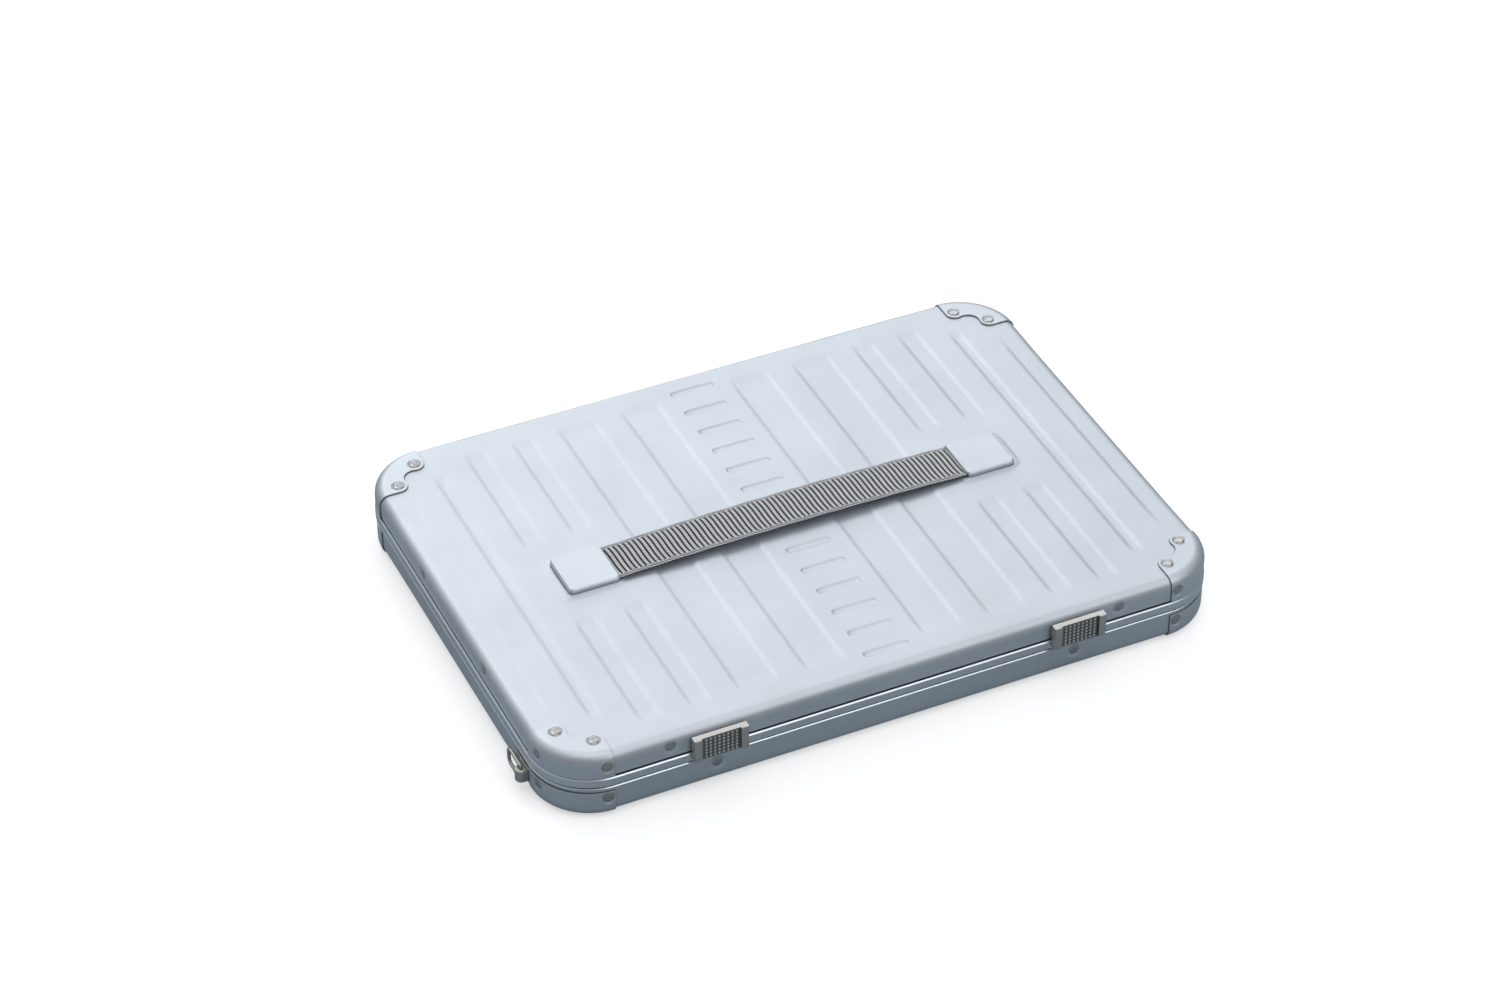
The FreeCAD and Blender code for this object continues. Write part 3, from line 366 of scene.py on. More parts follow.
def pan_mesh(name, level, bottom, forms, dimples, slots):
    """Outer skin of a pan with its panel up: a level grid, a round edge and a wall."""

    def relief(x, y):
        return sum(form.relief(x, y) for form in forms)

    bands = [[band for form in forms for band in form.bands(axis)] for axis in (0, 1)]
    reach_bands = [tuple(sorted((abs(a) - inner, abs(b) - inner))) + (step,)
                   for axis, inner in ((0, INNER_X), (1, INNER_Y)) for a, b, step in bands[axis]]
    mouth = DIMPLE_MOUTH + 0.3
    for side, along, _ in dimples:
        bands[0 if side[1] else 1].append((along - mouth, along + mouth, FINE))
    bands[0] += [(edge, edge, FINE) for ends, _ in slots for edge in ends]
    x_values = spaced(-INNER_X, INNER_X, bands[0], COARSE)
    y_values = spaced(-INNER_Y, INNER_Y, bands[1], COARSE)

    grid_x, grid_y = np.meshgrid(x_values, y_values)
    grid = np.stack([grid_x, grid_y, level + relief(grid_x, grid_y)], axis=-1).reshape(-1, 3)
    faces = [tuple(face) for face in grid_faces(len(y_values), len(x_values))]

    flat = spaced(0.0, CORNER - EDGE, reach_bands, COARSE)
    turn = np.sin(np.linspace(0, math.pi / 2, EDGE_STEPS + 1)[1:]) * EDGE + CORNER - EDGE
    slot_stops = [(level - z, level - z, WALL_STEP) for _, heights in slots for z in heights]
    wall = spaced(EDGE, level - bottom, slot_stops, WALL_STEP)[1:]
    reach = np.concatenate([flat, turn, np.full(len(wall), CORNER)])
    drop = np.concatenate([np.zeros(len(flat) + len(turn)), wall])
    base, direction = pan_stations(x_values, y_values)
    count = len(base)
    reach = np.repeat(reach[:, None], count, axis=1)
    drop = np.repeat(drop[:, None], count, axis=1)
    x = base[:, 0] + direction[:, 0] * reach
    y = base[:, 1] + direction[:, 1] * reach
    over = np.clip((reach - CORNER + EDGE) / EDGE, 0, 1)
    curve = np.sqrt(1 - over ** 2)
    z = np.where(drop > 0, level - drop, level - EDGE + (EDGE + relief(x, y)) * curve)
    for side, along, height in dimples:
        on_side = (direction[:, 0] == side[0]) & (direction[:, 1] == side[1])
        position = x if side[1] else y
        away = np.hypot(position - along, z - height)
        sunk = DIMPLE_DEPTH * smooth((DIMPLE_MOUTH - away) / (DIMPLE_MOUTH - DIMPLE_FLOOR))
        reach = np.where(on_side & (sunk > 0), np.minimum(reach, CORNER - sunk), reach)
    x = base[:, 0] + direction[:, 0] * reach
    y = base[:, 1] + direction[:, 1] * reach
    skirt = np.stack([x, y, z], axis=-1).reshape(-1, 3)

    for a, b, c, d in grid_faces(len(drop), count, closed=True):
        middle = (skirt[a] + skirt[c]) / 2
        cut = any(ends[0] < middle[0] < ends[1] and low < middle[2] < high
                  for ends, (low, high) in slots)
        if not (cut and middle[1] < -INNER_Y):
            faces.append((a + len(grid), d + len(grid), c + len(grid), b + len(grid)))
    mesh = bpy.data.meshes.new(name)
    mesh.from_pydata([tuple(p) for p in np.vstack([grid, skirt])], [], faces)
    weld(mesh, 1e-3)
    return mesh


def sheet_piece(name, node, mesh, turned, body, material):
    """Give a pan's skin its sheet thickness, stand it in place and hide its CAD node."""
    if turned:
        mesh.transform(Matrix.Rotation(math.pi, 4, "X"))
    mesh.transform(Matrix.Scale(MM, 4))
    piece = link_mesh(name, mesh)
    solid = piece.modifiers.new("sheet", "SOLIDIFY")
    solid.thickness = SHEET * MM
    solid.offset = -1
    apply_modifiers(piece)
    dress(piece, body, material)
    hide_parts(node)
    return piece


def lid_pan(material):
    low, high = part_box("lid_shell")
    level = high.z / MM - BOSS_HEIGHT
    forms = panel_ribs() + panel_louvres() + strap_bosses()
    dimples = wall_rivets("lid_frame_rivets")
    mesh = pan_mesh("lid_pan", level, low.z / MM + RIM_GAP, forms, dimples, latch_slots())
    return sheet_piece("lid_pan", "lid_shell", mesh, False, "lid", material)


def base_pan(material):
    """The base pan is made panel up and turned over about the X axis."""
    low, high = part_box("base_shell")
    dimples = [((side[0], -side[1]), along if side[1] else -along, -height)
               for side, along, height in wall_rivets("base_frame_rivets")]
    mesh = pan_mesh("base_pan", -low.z / MM, -high.z / MM, panel_ribs(), dimples, [])
    return sheet_piece("base_pan", "base_shell", mesh, True, "base", material)


# ---------------------------------------------------------------- rivets

def turned_profile(profile, centre, axis, segments=40):
    """Points and faces of a profile of (radius, height) spun about an axis."""
    axis = Vector(axis).normalized()
    across = axis.orthogonal().normalized()
    third = axis.cross(across)
    points = []
    for radius, height in profile:
        for step in range(segments):
            angle = 2 * math.pi * step / segments
            ring = across * math.cos(angle) + third * math.sin(angle)
            points.append(Vector(centre) + axis * height + ring * radius)
    return points, grid_faces(len(profile), segments, closed=True)


def rivet_profile(length, tail):
    """Domed head with a small set mark, a shank and, where a rivet has one, its tail."""
    dome = []
    for share in np.sin(np.linspace(0, math.pi / 2, 13)):
        mark = 0.07 * math.exp(-((share * HEAD_RADIUS) / 0.5) ** 2)
        dome.append((HEAD_RADIUS * share, HEAD_HEIGHT * (1 - share ** 5) - mark))
    dome[0] = (1e-4, dome[0][1])
    shank_end = -length + (0.8 if tail else 0.0)
    profile = dome + [(HEAD_RADIUS - 0.05, -0.06), (SHANK_RADIUS, -0.06), (SHANK_RADIUS, shank_end)]
    if tail:
        profile += [(2.4, shank_end), (2.4, -length)]
    return profile + [(1e-4, -length)]


def rivet_group(node, body, vertical, tail, material):
    """One piece with every rivet of a CAD group, standing on the same axes."""
    points, faces = [], []
    for centre, group in rivet_centres(node):
        axis = Vector((0, 0, vertical)) if vertical else outward(centre).to_3d()
        along = group @ np.array(axis)
        head_top, foot = along.max(), along.min()
        middle = Vector(centre)
        seat = middle + axis * (head_top - HEAD_HEIGHT - middle.dot(axis))
        more, quads = turned_profile(rivet_profile(head_top - foot - HEAD_HEIGHT, tail), seat, axis)
        faces += [tuple(int(i) + len(points) for i in quad) for quad in quads]
        points += more
    piece = new_piece(node + "_set", points, faces, body, material, 50)
    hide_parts(node)
    return piece


def all_rivets(material):
    groups = (("lid_corner_rivets", "lid", 1, True), ("lid_corner_wall_rivets", "lid", 0, False),
              ("lid_frame_rivets", "lid", 0, False), ("lid_hinge_rivets", "lid", 0, False),
              ("base_corner_rivets", "base", -1, True),
              ("base_corner_wall_rivets", "base", 0, False),
              ("base_frame_rivets", "base", 0, False), ("base_hinge_rivets", "base", 0, False),
              ("ring_bracket_rivets", "base", 0, False))
    for node, body, vertical, tail in groups:
        rivet_group(node, body, vertical, tail, material)


# ---------------------------------------------------------------- hand strap

def stitch_noise(column, stitch):
    """Repeatable value from 0 to 1 for each stitch."""
    value = np.sin(column * 127.1 + stitch * 311.7) * 43758.5453
    return value - np.floor(value)


def stitches(column_place, stitch_place, slant):
    """Height and tone of slanted stitches that lie in columns, both from 0 to 1."""
    column = np.floor(column_place)
    across = column_place - column - 0.5
    lean = np.where(column % 2 == 0, slant, -slant)
    run = stitch_place + lean * across + 0.5 * (column % 2)
    stitch = np.floor(run)
    along = run - stitch - 0.5
    height = np.sqrt(np.clip(1 - (2.3 * across) ** 2, 0, 1))
    height = height * np.cos(math.pi * along)
    tone = stitch_noise(column, stitch)
    return height, tone


def weave(u, v, half):
    """Height and tone of the webbing at places along (u) and across (v)."""
    bent = u + WEAVE_BEND * (v / half) ** 3 + WEAVE_WAVE * np.sin(2 * math.pi * v / STITCH_LENGTH)
    body_height, body_tone = stitches(bent / STITCH_WIDTH, v / STITCH_LENGTH, STITCH_SLANT)
    from_edge = half - np.abs(v)
    edge_height, edge_tone = stitches(from_edge / (SELVEDGE / 2), u / (STITCH_LENGTH * 1.25), 1.1)
    in_edge = from_edge < SELVEDGE
    return np.where(in_edge, edge_height, body_height), np.where(in_edge, edge_tone, body_tone)


def hand_strap(material):
    """Woven strap: a flat tube of stitches that bows up between the two plates."""
    low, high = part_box("hand_strap")
    plate_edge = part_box("strap_plate_right")[0].x / MM
    half_width = high.y / MM
    reach = high.x / MM
    thickness = 1.5
    rise = (high.z - low.z) / MM - thickness
    along = spaced(-reach, reach, [], WEAVE_STEP)
    top = spaced(-half_width, half_width, [], WEAVE_STEP)
    under = top[::-1][2:-2:4]
    across = np.concatenate([top, under])
    upper = np.concatenate([np.ones(len(top)), -np.ones(len(under))])
    v, u = np.meshgrid(across, along)
    bow = low.z / MM + rise * np.clip(1 - (u / plate_edge) ** 2, 0, 1)
    height, tone = weave(u, v, half_width)
    edge = np.sqrt(np.clip(1 - (np.abs(v) / (half_width + 0.02)) ** 10, 0, 1))
    free = smooth((plate_edge - np.abs(u)) / 1.5)
    full = thickness / 2 * edge
    z = bow + thickness / 2 + upper * (full - WEAVE_RELIEF * (1 - height * free) * edge)
    wave = 0.12 * np.sin(u / 3.1) * np.sign(v) * (np.abs(v) > half_width - 1.2)
    points = np.stack([u, v + wave * free, z], axis=-1).reshape(-1, 3)
    columns = len(across)
    faces = [tuple(face[::-1]) for face in grid_faces(len(along), columns, closed=True)]
    faces.append(tuple(range(columns)))
    faces.append(tuple(range(len(points) - 1, len(points) - columns - 1, -1)))
    strap = new_piece("hand_strap_webbing", points, faces, "lid", material, 80)
    for label, values in (("stitch_height", height), ("stitch_tone", tone)):
        data = strap.data.attributes.new(label, "FLOAT", "POINT")
        data.data.foreach_set("value", values.astype(np.float32).ravel())
    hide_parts("hand_strap")
    return strap


# ---------------------------------------------------------------- latches

def latch_grip(name, material):
    """Knurled pad between the end ridges of a latch slider: rows of small round studs."""
    ridge, recess, margin, shoulder = 3.9, 1.0, 0.25, 0.8
    pitch_x, pitch_z, radius, rise, steps = 2.1, 1.9, 0.66, 0.5, 10
    low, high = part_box("latch_thumb_" + name)
    x = (low.x / MM + ridge + margin, high.x / MM - ridge - margin)
    z = (low.z / MM + margin + 0.1, high.z / MM - margin - 0.1)
    front = low.y / MM + recess
    studs_x = (x[0] + shoulder, x[1] - shoulder)
    columns = int((studs_x[1] - studs_x[0]) / pitch_x)
    rows = int((z[1] - z[0]) / pitch_z)
    xs = np.concatenate([[x[0], x[0] + 0.2], np.linspace(*studs_x, columns * steps + 1),
                         [x[1] - 0.2, x[1]]])
    zs = np.concatenate([[z[0]], np.linspace(z[0] + 0.2, z[1] - 0.2, rows * steps + 1), [z[1]]])
    place_x = np.clip((xs - studs_x[0]) / (studs_x[1] - studs_x[0]), 0, 1) * columns
    place_z = np.clip((zs - zs[1]) / (zs[-2] - zs[1]), 0, 1) * rows
    across, up = np.meshgrid(place_x - np.floor(place_x) - 0.5, place_z - np.floor(place_z) - 0.5)
    away = np.hypot(across * pitch_x, up * pitch_z) / radius
    stud = np.sqrt(np.clip(1 - away ** 2, 0, 1))
    grid_x, grid_z = np.meshgrid(xs, zs)
    border = np.minimum.reduce([grid_x - x[0], x[1] - grid_x, grid_z - z[0], z[1] - grid_z])
    plate = 0.16 * np.clip(border / 0.2, 0, 1)
    points = np.stack([grid_x, front - plate - rise * stud, grid_z], axis=-1).reshape(-1, 3)
    faces = [tuple(face) for face in grid_faces(len(zs), len(xs))]
    rim = border_loop(len(zs), len(xs))
    count = len(points)
    back = points[rim]
    back[:, 1] = front + 0.2
    following = np.roll(np.arange(len(rim)), -1)
    faces += [(rim[k], count + k, count + n, rim[n]) for k, n in enumerate(following)]
    faces.append(tuple(count + k for k in range(len(rim) - 1, -1, -1)))
    grip = new_piece("latch_grip_" + name, np.vstack([points, back]), faces,
                     "latch_" + name, material, 50)
    heights = np.concatenate([stud.ravel(), np.zeros(len(back))])
    data = grip.data.attributes.new("stud_height", "FLOAT", "POINT")
    data.data.foreach_set("value", heights.astype(np.float32))
    weld(grip.data, closed=True)
    return grip


def border_loop(rows, columns):
    """Indices round the border of a table of points."""
    bottom = list(range(columns))
    right = [row * columns + columns - 1 for row in range(1, rows)]
    top = [(rows - 1) * columns + column for column in range(columns - 2, -1, -1)]
    left = [row * columns for row in range(rows - 2, 0, -1)]
    return bottom + right + top + left


def latch_spring(name, material):
    """Coil spring that fills its CAD box, from its free end to its fixed end."""
    turns, steps, around, wire = 8, 28, 10, 0.22
    side = SIDES[name]
    low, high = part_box("latch_spring_" + name)
    fixed = high.x / MM if side > 0 else low.x / MM
    free = low.x / MM if side > 0 else high.x / MM
    middle_y = (low.y + high.y) / 2 / MM
    middle_z = (low.z + high.z) / 2 / MM
    radius = (high.z - low.z) / 2 / MM - wire
    start, end = free + side * wire, fixed - side * wire
    points = []
    for step in range(turns * steps + 1):
        share = step / (turns * steps)
        angle = 2 * math.pi * turns * share
        out = Vector((0, math.cos(angle), math.sin(angle)))
        centre = Vector((start + (end - start) * share, middle_y, middle_z)) + out * radius
        for part in range(around):
            turn = 2 * math.pi * part / around
            points.append(centre + (out * math.cos(turn) + Vector((1, 0, 0)) * math.sin(turn)) * wire)
    faces = [tuple(int(i) for i in face)
             for face in grid_faces(turns * steps + 1, around, closed=True)]
    faces.append(tuple(range(around - 1, -1, -1)))
    faces.append(tuple(range(len(points) - around, len(points))))
    spring = new_piece("latch_coil_" + name, points, faces, "lid", material, 60)
    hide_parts("latch_spring_" + name)
    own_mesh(spring)
    return spring


# ---------------------------------------------------------------- seams

def plan_point(inset, base, direction):
    """Point of the case's plan at an inset from the outer wall."""
    reach = CORNER - inset
    return base[0] + direction[0] * reach, base[1] + direction[1] * reach


def swept_ring(x_bands, profile_of):
    """Points and faces of a closed ring round the case.

    profile_of gives a closed profile of (inset, height) at each place and outward direction.
    """
    base, direction = pan_stations(spaced(-INNER_X, INNER_X, x_bands, PLAN_STEP),
                                   spaced(-INNER_Y, INNER_Y, [], PLAN_STEP))
    rows = []
    for place, out in zip(base, direction):
        profile = profile_of(place, out)
        rows.append([plan_point(inset, place, out) + (z,) for inset, z in profile + profile[:1]])
    points = np.array(rows).transpose(1, 0, 2)
    faces = [tuple(int(i) for i in face) for face in grid_faces(*points.shape[:2], closed=True)]
    return points.reshape(-1, 3), faces


def seam_shadow_cord(name, outer, inner, low, high, material):
    """Black rubber cord with rounded edges between two insets and two heights, fixed to the lid; it stands for the
    shadow in a seam gap.
    """
    soft = 0.12
    corners = ((outer + soft, high - soft), (inner - soft, high - soft),
               (inner - soft, low + soft), (outer + soft, low + soft))
    profile = []
    for index, (inset, z) in enumerate(corners):
        for angle in np.linspace(1 - index / 2, 0.5 - index / 2, 4) * math.pi:
            profile.append((inset + soft * math.cos(angle), z + soft * math.sin(angle)))
    points, faces = swept_ring([], lambda place, out: profile)
    cord = new_piece(name, points, faces, "lid", material, 60)
    weld(cord.data, closed=True)
    return cord


def seam_shadow_cords(material):
    """The seal's lip in the parting line, and a bead between the lid pan and its frame: near-black cords that
    paint the shade in those gaps.
    """
    depth = 1.1
    band_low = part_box("lid_frame")[0].z / MM
    lip_top = 2 * PARTING - band_low
    # Painted shade: the cords' near-black stands for the shadow in the parting gap and under the lid pan's edge.
    seam_shadow_cord("lid_seal_lip_and_shadow", SHADOW_LIP_OUTER_INSET, depth, lip_top + SHADOW_BEAD_CLEARANCE,
              band_low - SHADOW_BEAD_CLEARANCE, material)
    pan_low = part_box("lid_shell")[0].z / MM
    seam_shadow_cord("lid_joint_shadow_bead", SHADOW_BEAD_OUTER_INSET, depth, pan_low - BAND_GAP + SHADOW_BEAD_CLEARANCE,
              pan_low + RIM_GAP - SHADOW_BEAD_CLEARANCE, material)


# ---------------------------------------------------------------- lining

def lining_tray(name, node, body, open_up, notches, material):
    """Padded wall and thin floor; notches are x ranges where the front wall is cut down."""
    inset, wall, floor, fillet, land = 3.7, 2.3, 1.5, 1.6, 6.0
    low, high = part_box(node)
    foot, rim = (low.z, high.z) if open_up else (high.z, low.z)
    up = 1 if open_up else -1
    height = abs(rim - foot) / MM
    inner = inset + wall

    def profile(place, out):
        top = height
        if out[1] == -1:
            for (start, end), cut in notches:
                inside = smooth((place[0] - start) / 2 + 0.5) * smooth((end - place[0]) / 2 + 0.5)
                top -= (height - cut) * float(inside)
        half = wall / 2
        steps = [(inner + land, floor), (inner + fillet, floor)]
        for angle in np.linspace(0.3, math.pi / 2, 5):
            steps.append((inner + fillet * (1 - math.sin(angle)),
                          floor + fillet * (1 - math.cos(angle))))
        steps.append((inner + 0.15, (floor + fillet + top - half) / 2))
        for angle in np.linspace(0, math.pi, 9):
            steps.append((inset + half + half * math.cos(angle),
                          top - half + half * math.sin(angle)))
        steps += [(inset, 0.0), (inner + land, 0.0)]
        return [(step_inset, foot / MM + up * rise) for step_inset, rise in steps]

    bands = [(edge - 3, edge + 3, 0.6) for ends, _ in notches for edge in ends]
    points, faces = swept_ring(bands, profile)
    tray = new_piece(name, points, faces, body, material, 60)
    weld(tray.data, closed=True)
    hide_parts(node)
    return tray


def lining_pad(name, node, body, open_up, material):
    """Quilted floor pad: a sheet pinned along diagonal seams and swollen by cloth pressure."""
    gap, floor = 6.6, 0.3
    low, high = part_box(node)
    base_z = low.z / MM if open_up else high.z / MM
    half_x, half_y = HALF_X - gap, HALF_Y - gap
    corner = CORNER - gap
    columns = 2 * int(half_x / PAD_CELL) + 1
    rows = 2 * int(half_y / PAD_CELL) + 1
    xs = np.linspace(-half_x, half_x, columns)
    ys = np.linspace(-half_y, half_y, rows)
    grid_x, grid_y = np.meshgrid(xs, ys)
    flat_x, flat_y = round_off_corners(grid_x.ravel(), grid_y.ravel(), half_x, half_y, corner)
    rest = np.stack([flat_x, flat_y, np.full(len(flat_x), 1.5)], axis=-1)
    under = rest.copy()
    under[:, 2] = floor
    count = len(rest)
    faces = [tuple(int(i) for i in face) for face in grid_faces(rows, columns)]
    faces += [tuple(i + count for i in face[::-1]) for face in faces]
    rim = border_loop(rows, columns)
    faces += [(a, a + count, b + count, b) for a, b in zip(rim, rim[1:] + rim[:1])]
    mesh = bpy.data.meshes.new(name)
    mesh.from_pydata([tuple(p) for p in np.vstack([rest, under]) * MM], [], faces)
    pad = link_mesh(name, mesh)
    column, row = np.meshgrid(np.arange(columns) - columns // 2, np.arange(rows) - rows // 2)
    seam = ((column + row) % PAD_SEAM_EVERY == 0) | ((column - row) % PAD_SEAM_EVERY == 0)
    border = (np.abs(column) == columns // 2) | (np.abs(row) == rows // 2)
    pinned = np.flatnonzero((seam | border).ravel()).tolist() + list(range(count, 2 * count))
    seam_points = set(np.flatnonzero(seam.ravel()).tolist())
    swell(pad, pinned)
    settle(pad, rest, count, seam_points)
    if not open_up:
        pad.data.transform(Matrix.Diagonal((1, 1, -1, 1)))
        pad.data.flip_normals()
    pad.data.transform(Matrix.Translation((0, 0, base_z * MM)))
    smooth_out = pad.modifiers.new("smooth", "SUBSURF")
    smooth_out.levels = smooth_out.render_levels = 1
    apply_modifiers(pad)
    dress(pad, body, material, 60)
    return pad


def round_off_corners(x, y, half_x, half_y, radius):
    """Pull the corners of a rectangular grid in to a rounded rectangle."""
    over_x = np.maximum(np.abs(x) - (half_x - radius), 0)
    over_y = np.maximum(np.abs(y) - (half_y - radius), 0)
    longest = np.maximum(over_x, over_y)
    length = np.hypot(over_x, over_y)
    scale = np.where(length > 0, longest / np.maximum(length, 1e-9), 1.0)
    new_x = np.sign(x) * (np.abs(x) - over_x + over_x * scale)
    new_y = np.sign(y) * (np.abs(y) - over_y + over_y * scale)
    return new_x, new_y


def swell(pad, pinned):
    """Blow the pad up with Blender's cloth, held at its seams, and keep the result."""
    scene = bpy.context.scene
    group = pad.vertex_groups.new(name="seams")
    group.add(pinned, 1.0, "REPLACE")
    cloth = pad.modifiers.new("cloth", "CLOTH")
    settings = cloth.settings
    settings.quality = 6
    settings.mass = 0.15
    settings.tension_stiffness = 12
    settings.compression_stiffness = 12
    settings.shear_stiffness = 6
    settings.bending_stiffness = 0.3
    settings.use_pressure = True
    settings.uniform_pressure_force = 4
    settings.vertex_group_mass = "seams"
    settings.effector_weights.gravity = 0
    cloth.collision_settings.use_collision = False
    cloth.point_cache.frame_start = 1
    cloth.point_cache.frame_end = 20
    for step in range(1, 21):
        scene.frame_set(step)
    apply_modifiers(pad)
    scene.frame_set(1)
    pad.vertex_groups.clear()


def settle(pad, rest, count, seam_points):
    """Limit how far the pad has swollen, and sink its seams a little."""
    for index, vertex in enumerate(pad.data.vertices):
        if index < count:
            rise = vertex.co.z / MM - rest[index][2]
            if not math.isfinite(rise):
                rise = 0.0
            vertex.co.z = (rest[index][2] + max(0.0, min(PAD_RISE_CAP, rise))) * MM
            if index in seam_points:
                vertex.co.z -= 0.5 * MM


# ---------------------------------------------------------------- materials

class Shader:
    """Small helper for building a node material step by step."""

    def __init__(self, name):
        self.material = bpy.data.materials.new(name)
        self.material.use_nodes = True
        self.nodes = self.material.node_tree.nodes
        self.links = self.material.node_tree.links
        self.nodes.clear()
        self.surface = self.nodes.new("ShaderNodeBsdfPrincipled")
        output = self.nodes.new("ShaderNodeOutputMaterial")
        self.links.new(self.surface.outputs[0], output.inputs["Surface"])
        self.place = self.nodes.new("ShaderNodeTexCoord").outputs["Object"]

    def put(self, node, name, value):
        """Set an input to a value, or join it to another node's output."""
        if isinstance(value, bpy.types.NodeSocket):
            self.links.new(value, node.inputs[name])
        else:
            node.inputs[name].default_value = value

    def set(self, **values):
        for name, value in values.items():
            self.put(self.surface, name.replace("_", " "), value)

    def stretched(self, scale):
        node = self.nodes.new("ShaderNodeMapping")
        self.put(node, "Vector", self.place)
        node.inputs["Scale"].default_value = scale
        return node.outputs[0]

    def noise(self, size, detail=3.0, stretch=(1, 1, 1)):
        """Noise whose grains are about the given size in millimetres."""
        node = self.nodes.new("ShaderNodeTexNoise")
        self.put(node, "Vector", self.stretched(stretch))
        self.put(node, "Scale", 1.0 / (size * MM))
        self.put(node, "Detail", detail)
        return node.outputs["Fac"]

    def ramp(self, value, low, high, start=0.0, end=1.0):
        """Map a range of a value to another range."""
        node = self.nodes.new("ShaderNodeMapRange")
        self.put(node, "Value", value)
        for name, number in zip(("From Min", "From Max", "To Min", "To Max"),
                                (low, high, start, end)):
            self.put(node, name, number)
        return node.outputs[0]

    def math(self, operation, a, b=0.0):
        node = self.nodes.new("ShaderNodeMath")
        node.operation = operation
        self.put(node, 0, a)
        self.put(node, 1, b)
        return node.outputs[0]

    def mix(self, share, a, b):
        """Blend two colours."""
        node = self.nodes.new("ShaderNodeMix")
        node.data_type = "RGBA"
        self.put(node, 0, share)
        self.put(node, 6, a)
        self.put(node, 7, b)
        return node.outputs[2]

    def bump(self, height, distance, strength=1.0, normal=None):
        node = self.nodes.new("ShaderNodeBump")
        self.put(node, "Height", height)
        self.put(node, "Distance", distance * MM)
        self.put(node, "Strength", strength)
        if normal is not None:
            self.put(node, "Normal", normal)
        return node.outputs[0]

    def soft_edges(self, radius):
        """Normals rounded over edges, and a mask that is 1 on edges, used for wear and for painted edge highlight.
        """
        node = self.nodes.new("ShaderNodeBevel")
        node.samples = 6
        self.put(node, "Radius", radius * MM)
        plain = self.nodes.new("ShaderNodeNewGeometry").outputs["Normal"]
        dot = self.nodes.new("ShaderNodeVectorMath")
        dot.operation = "DOT_PRODUCT"
        self.put(dot, 0, node.outputs[0])
        self.put(dot, 1, plain)
        mask = self.ramp(dot.outputs["Value"], 0.98, 0.8)
        return node.outputs[0], mask

    def crevices(self, distance):
        """Mask that is 1 in narrow gaps and where two parts meet, from ambient occlusion; it marks where shade is
        painted into a colour.
        """
        node = self.nodes.new("ShaderNodeAmbientOcclusion")
        node.samples = 6
        self.put(node, "Distance", distance * MM)
        return self.ramp(node.outputs["AO"], 0.84, 0.5)


def tint(color, factor):
    """A colour made brighter or darker, as red, green, blue and alpha."""
    return tuple(min(1.0, channel * factor) for channel in color[:3]) + (1.0,)


def metal(name, color, roughness, grain=0.25, streak=None, edge=0.25, cloud=0.03, depth=0.004,
          polish_and_highlight=1.25, crevice_shade=0.9):
    """Satin metal: fine grain, soft clouds of tone, edges brightened by wear and painted highlight,
    and painted shade in crevices.

    grain and edge are sizes in millimetres; streak stretches the grain into brush lines;
    polish is how much the edges are brightened, partly wear and partly painted highlight,
    and dirt is how dark the painted shade in crevices and gaps is.
    """
    shader = Shader(name)
    normal, rubbed_and_lit_edge = shader.soft_edges(edge)
    clouds = shader.noise(38.0, 4.0)
    fine = shader.noise(grain, 2.0)
    base = shader.mix(shader.ramp(clouds, 0.3, 0.7), tint(color, 1 - cloud), tint(color, 1 + cloud))
    patchy = shader.ramp(shader.noise(3.0, 4.0), 0.38, 0.6, 0.55, 1.0)
    # Edges brightened in the colour: partly rubbed wear, partly a painted highlight along the rims.
    wear_and_highlight = shader.math("MULTIPLY", rubbed_and_lit_edge, patchy)
    base = shader.mix(wear_and_highlight, base, tint(color, polish_and_highlight))
    # Painted shade: ambient occlusion darkens the colour in crevices, gaps and where parts meet, where shadow
    # falls.
    painted_shade = shader.crevices(1.1)
    base = shader.mix(shader.math("MULTIPLY", painted_shade, crevice_shade), base, (0.02, 0.021, 0.024, 1))
    gloss = shader.ramp(fine, 0.2, 0.8, roughness - 0.05, roughness + 0.05)
    gloss = shader.math("SUBTRACT", gloss, shader.math("MULTIPLY", wear_and_highlight, 0.12))
    height = fine
    if streak:
        lines = shader.noise(grain * 1.4, 2.0, streak)
        height = shader.math("ADD", fine, shader.math("MULTIPLY", lines, 1.6))
    normal = shader.bump(height, depth, 1.0, normal)
    shader.set(Base_Color=base, Metallic=1.0, Roughness=gloss, Normal=normal)
    return shader.material


def knurled(name):
    """Nickel knurling: stud tops painted bright as a highlight over a ground painted dark as shade between the
    studs.
    """
    shader = Shader(name)
    # Painted light: raised stud tops get a bright colour as highlight, the low ground between them a dark colour
    # as shade.
    top = shader.ramp(attribute(shader, "stud_height"), 0.15, 0.75)
    tone = shader.ramp(shader.noise(0.8, 3.0), 0.35, 0.65, 0.75, 1.0)
    stud = shader.mix(tone, (0.5, 0.49, 0.47, 1), (0.95, 0.94, 0.92, 1))
    base = shader.mix(top, (0.24, 0.235, 0.23, 1), stud)
    gloss = shader.ramp(top, 0.0, 1.0, 0.5, 0.22)
    shader.set(Base_Color=base, Metallic=1.0, Roughness=gloss,
               Normal=shader.bump(shader.noise(0.12, 2.0), 0.006, 0.8))
    return shader.material


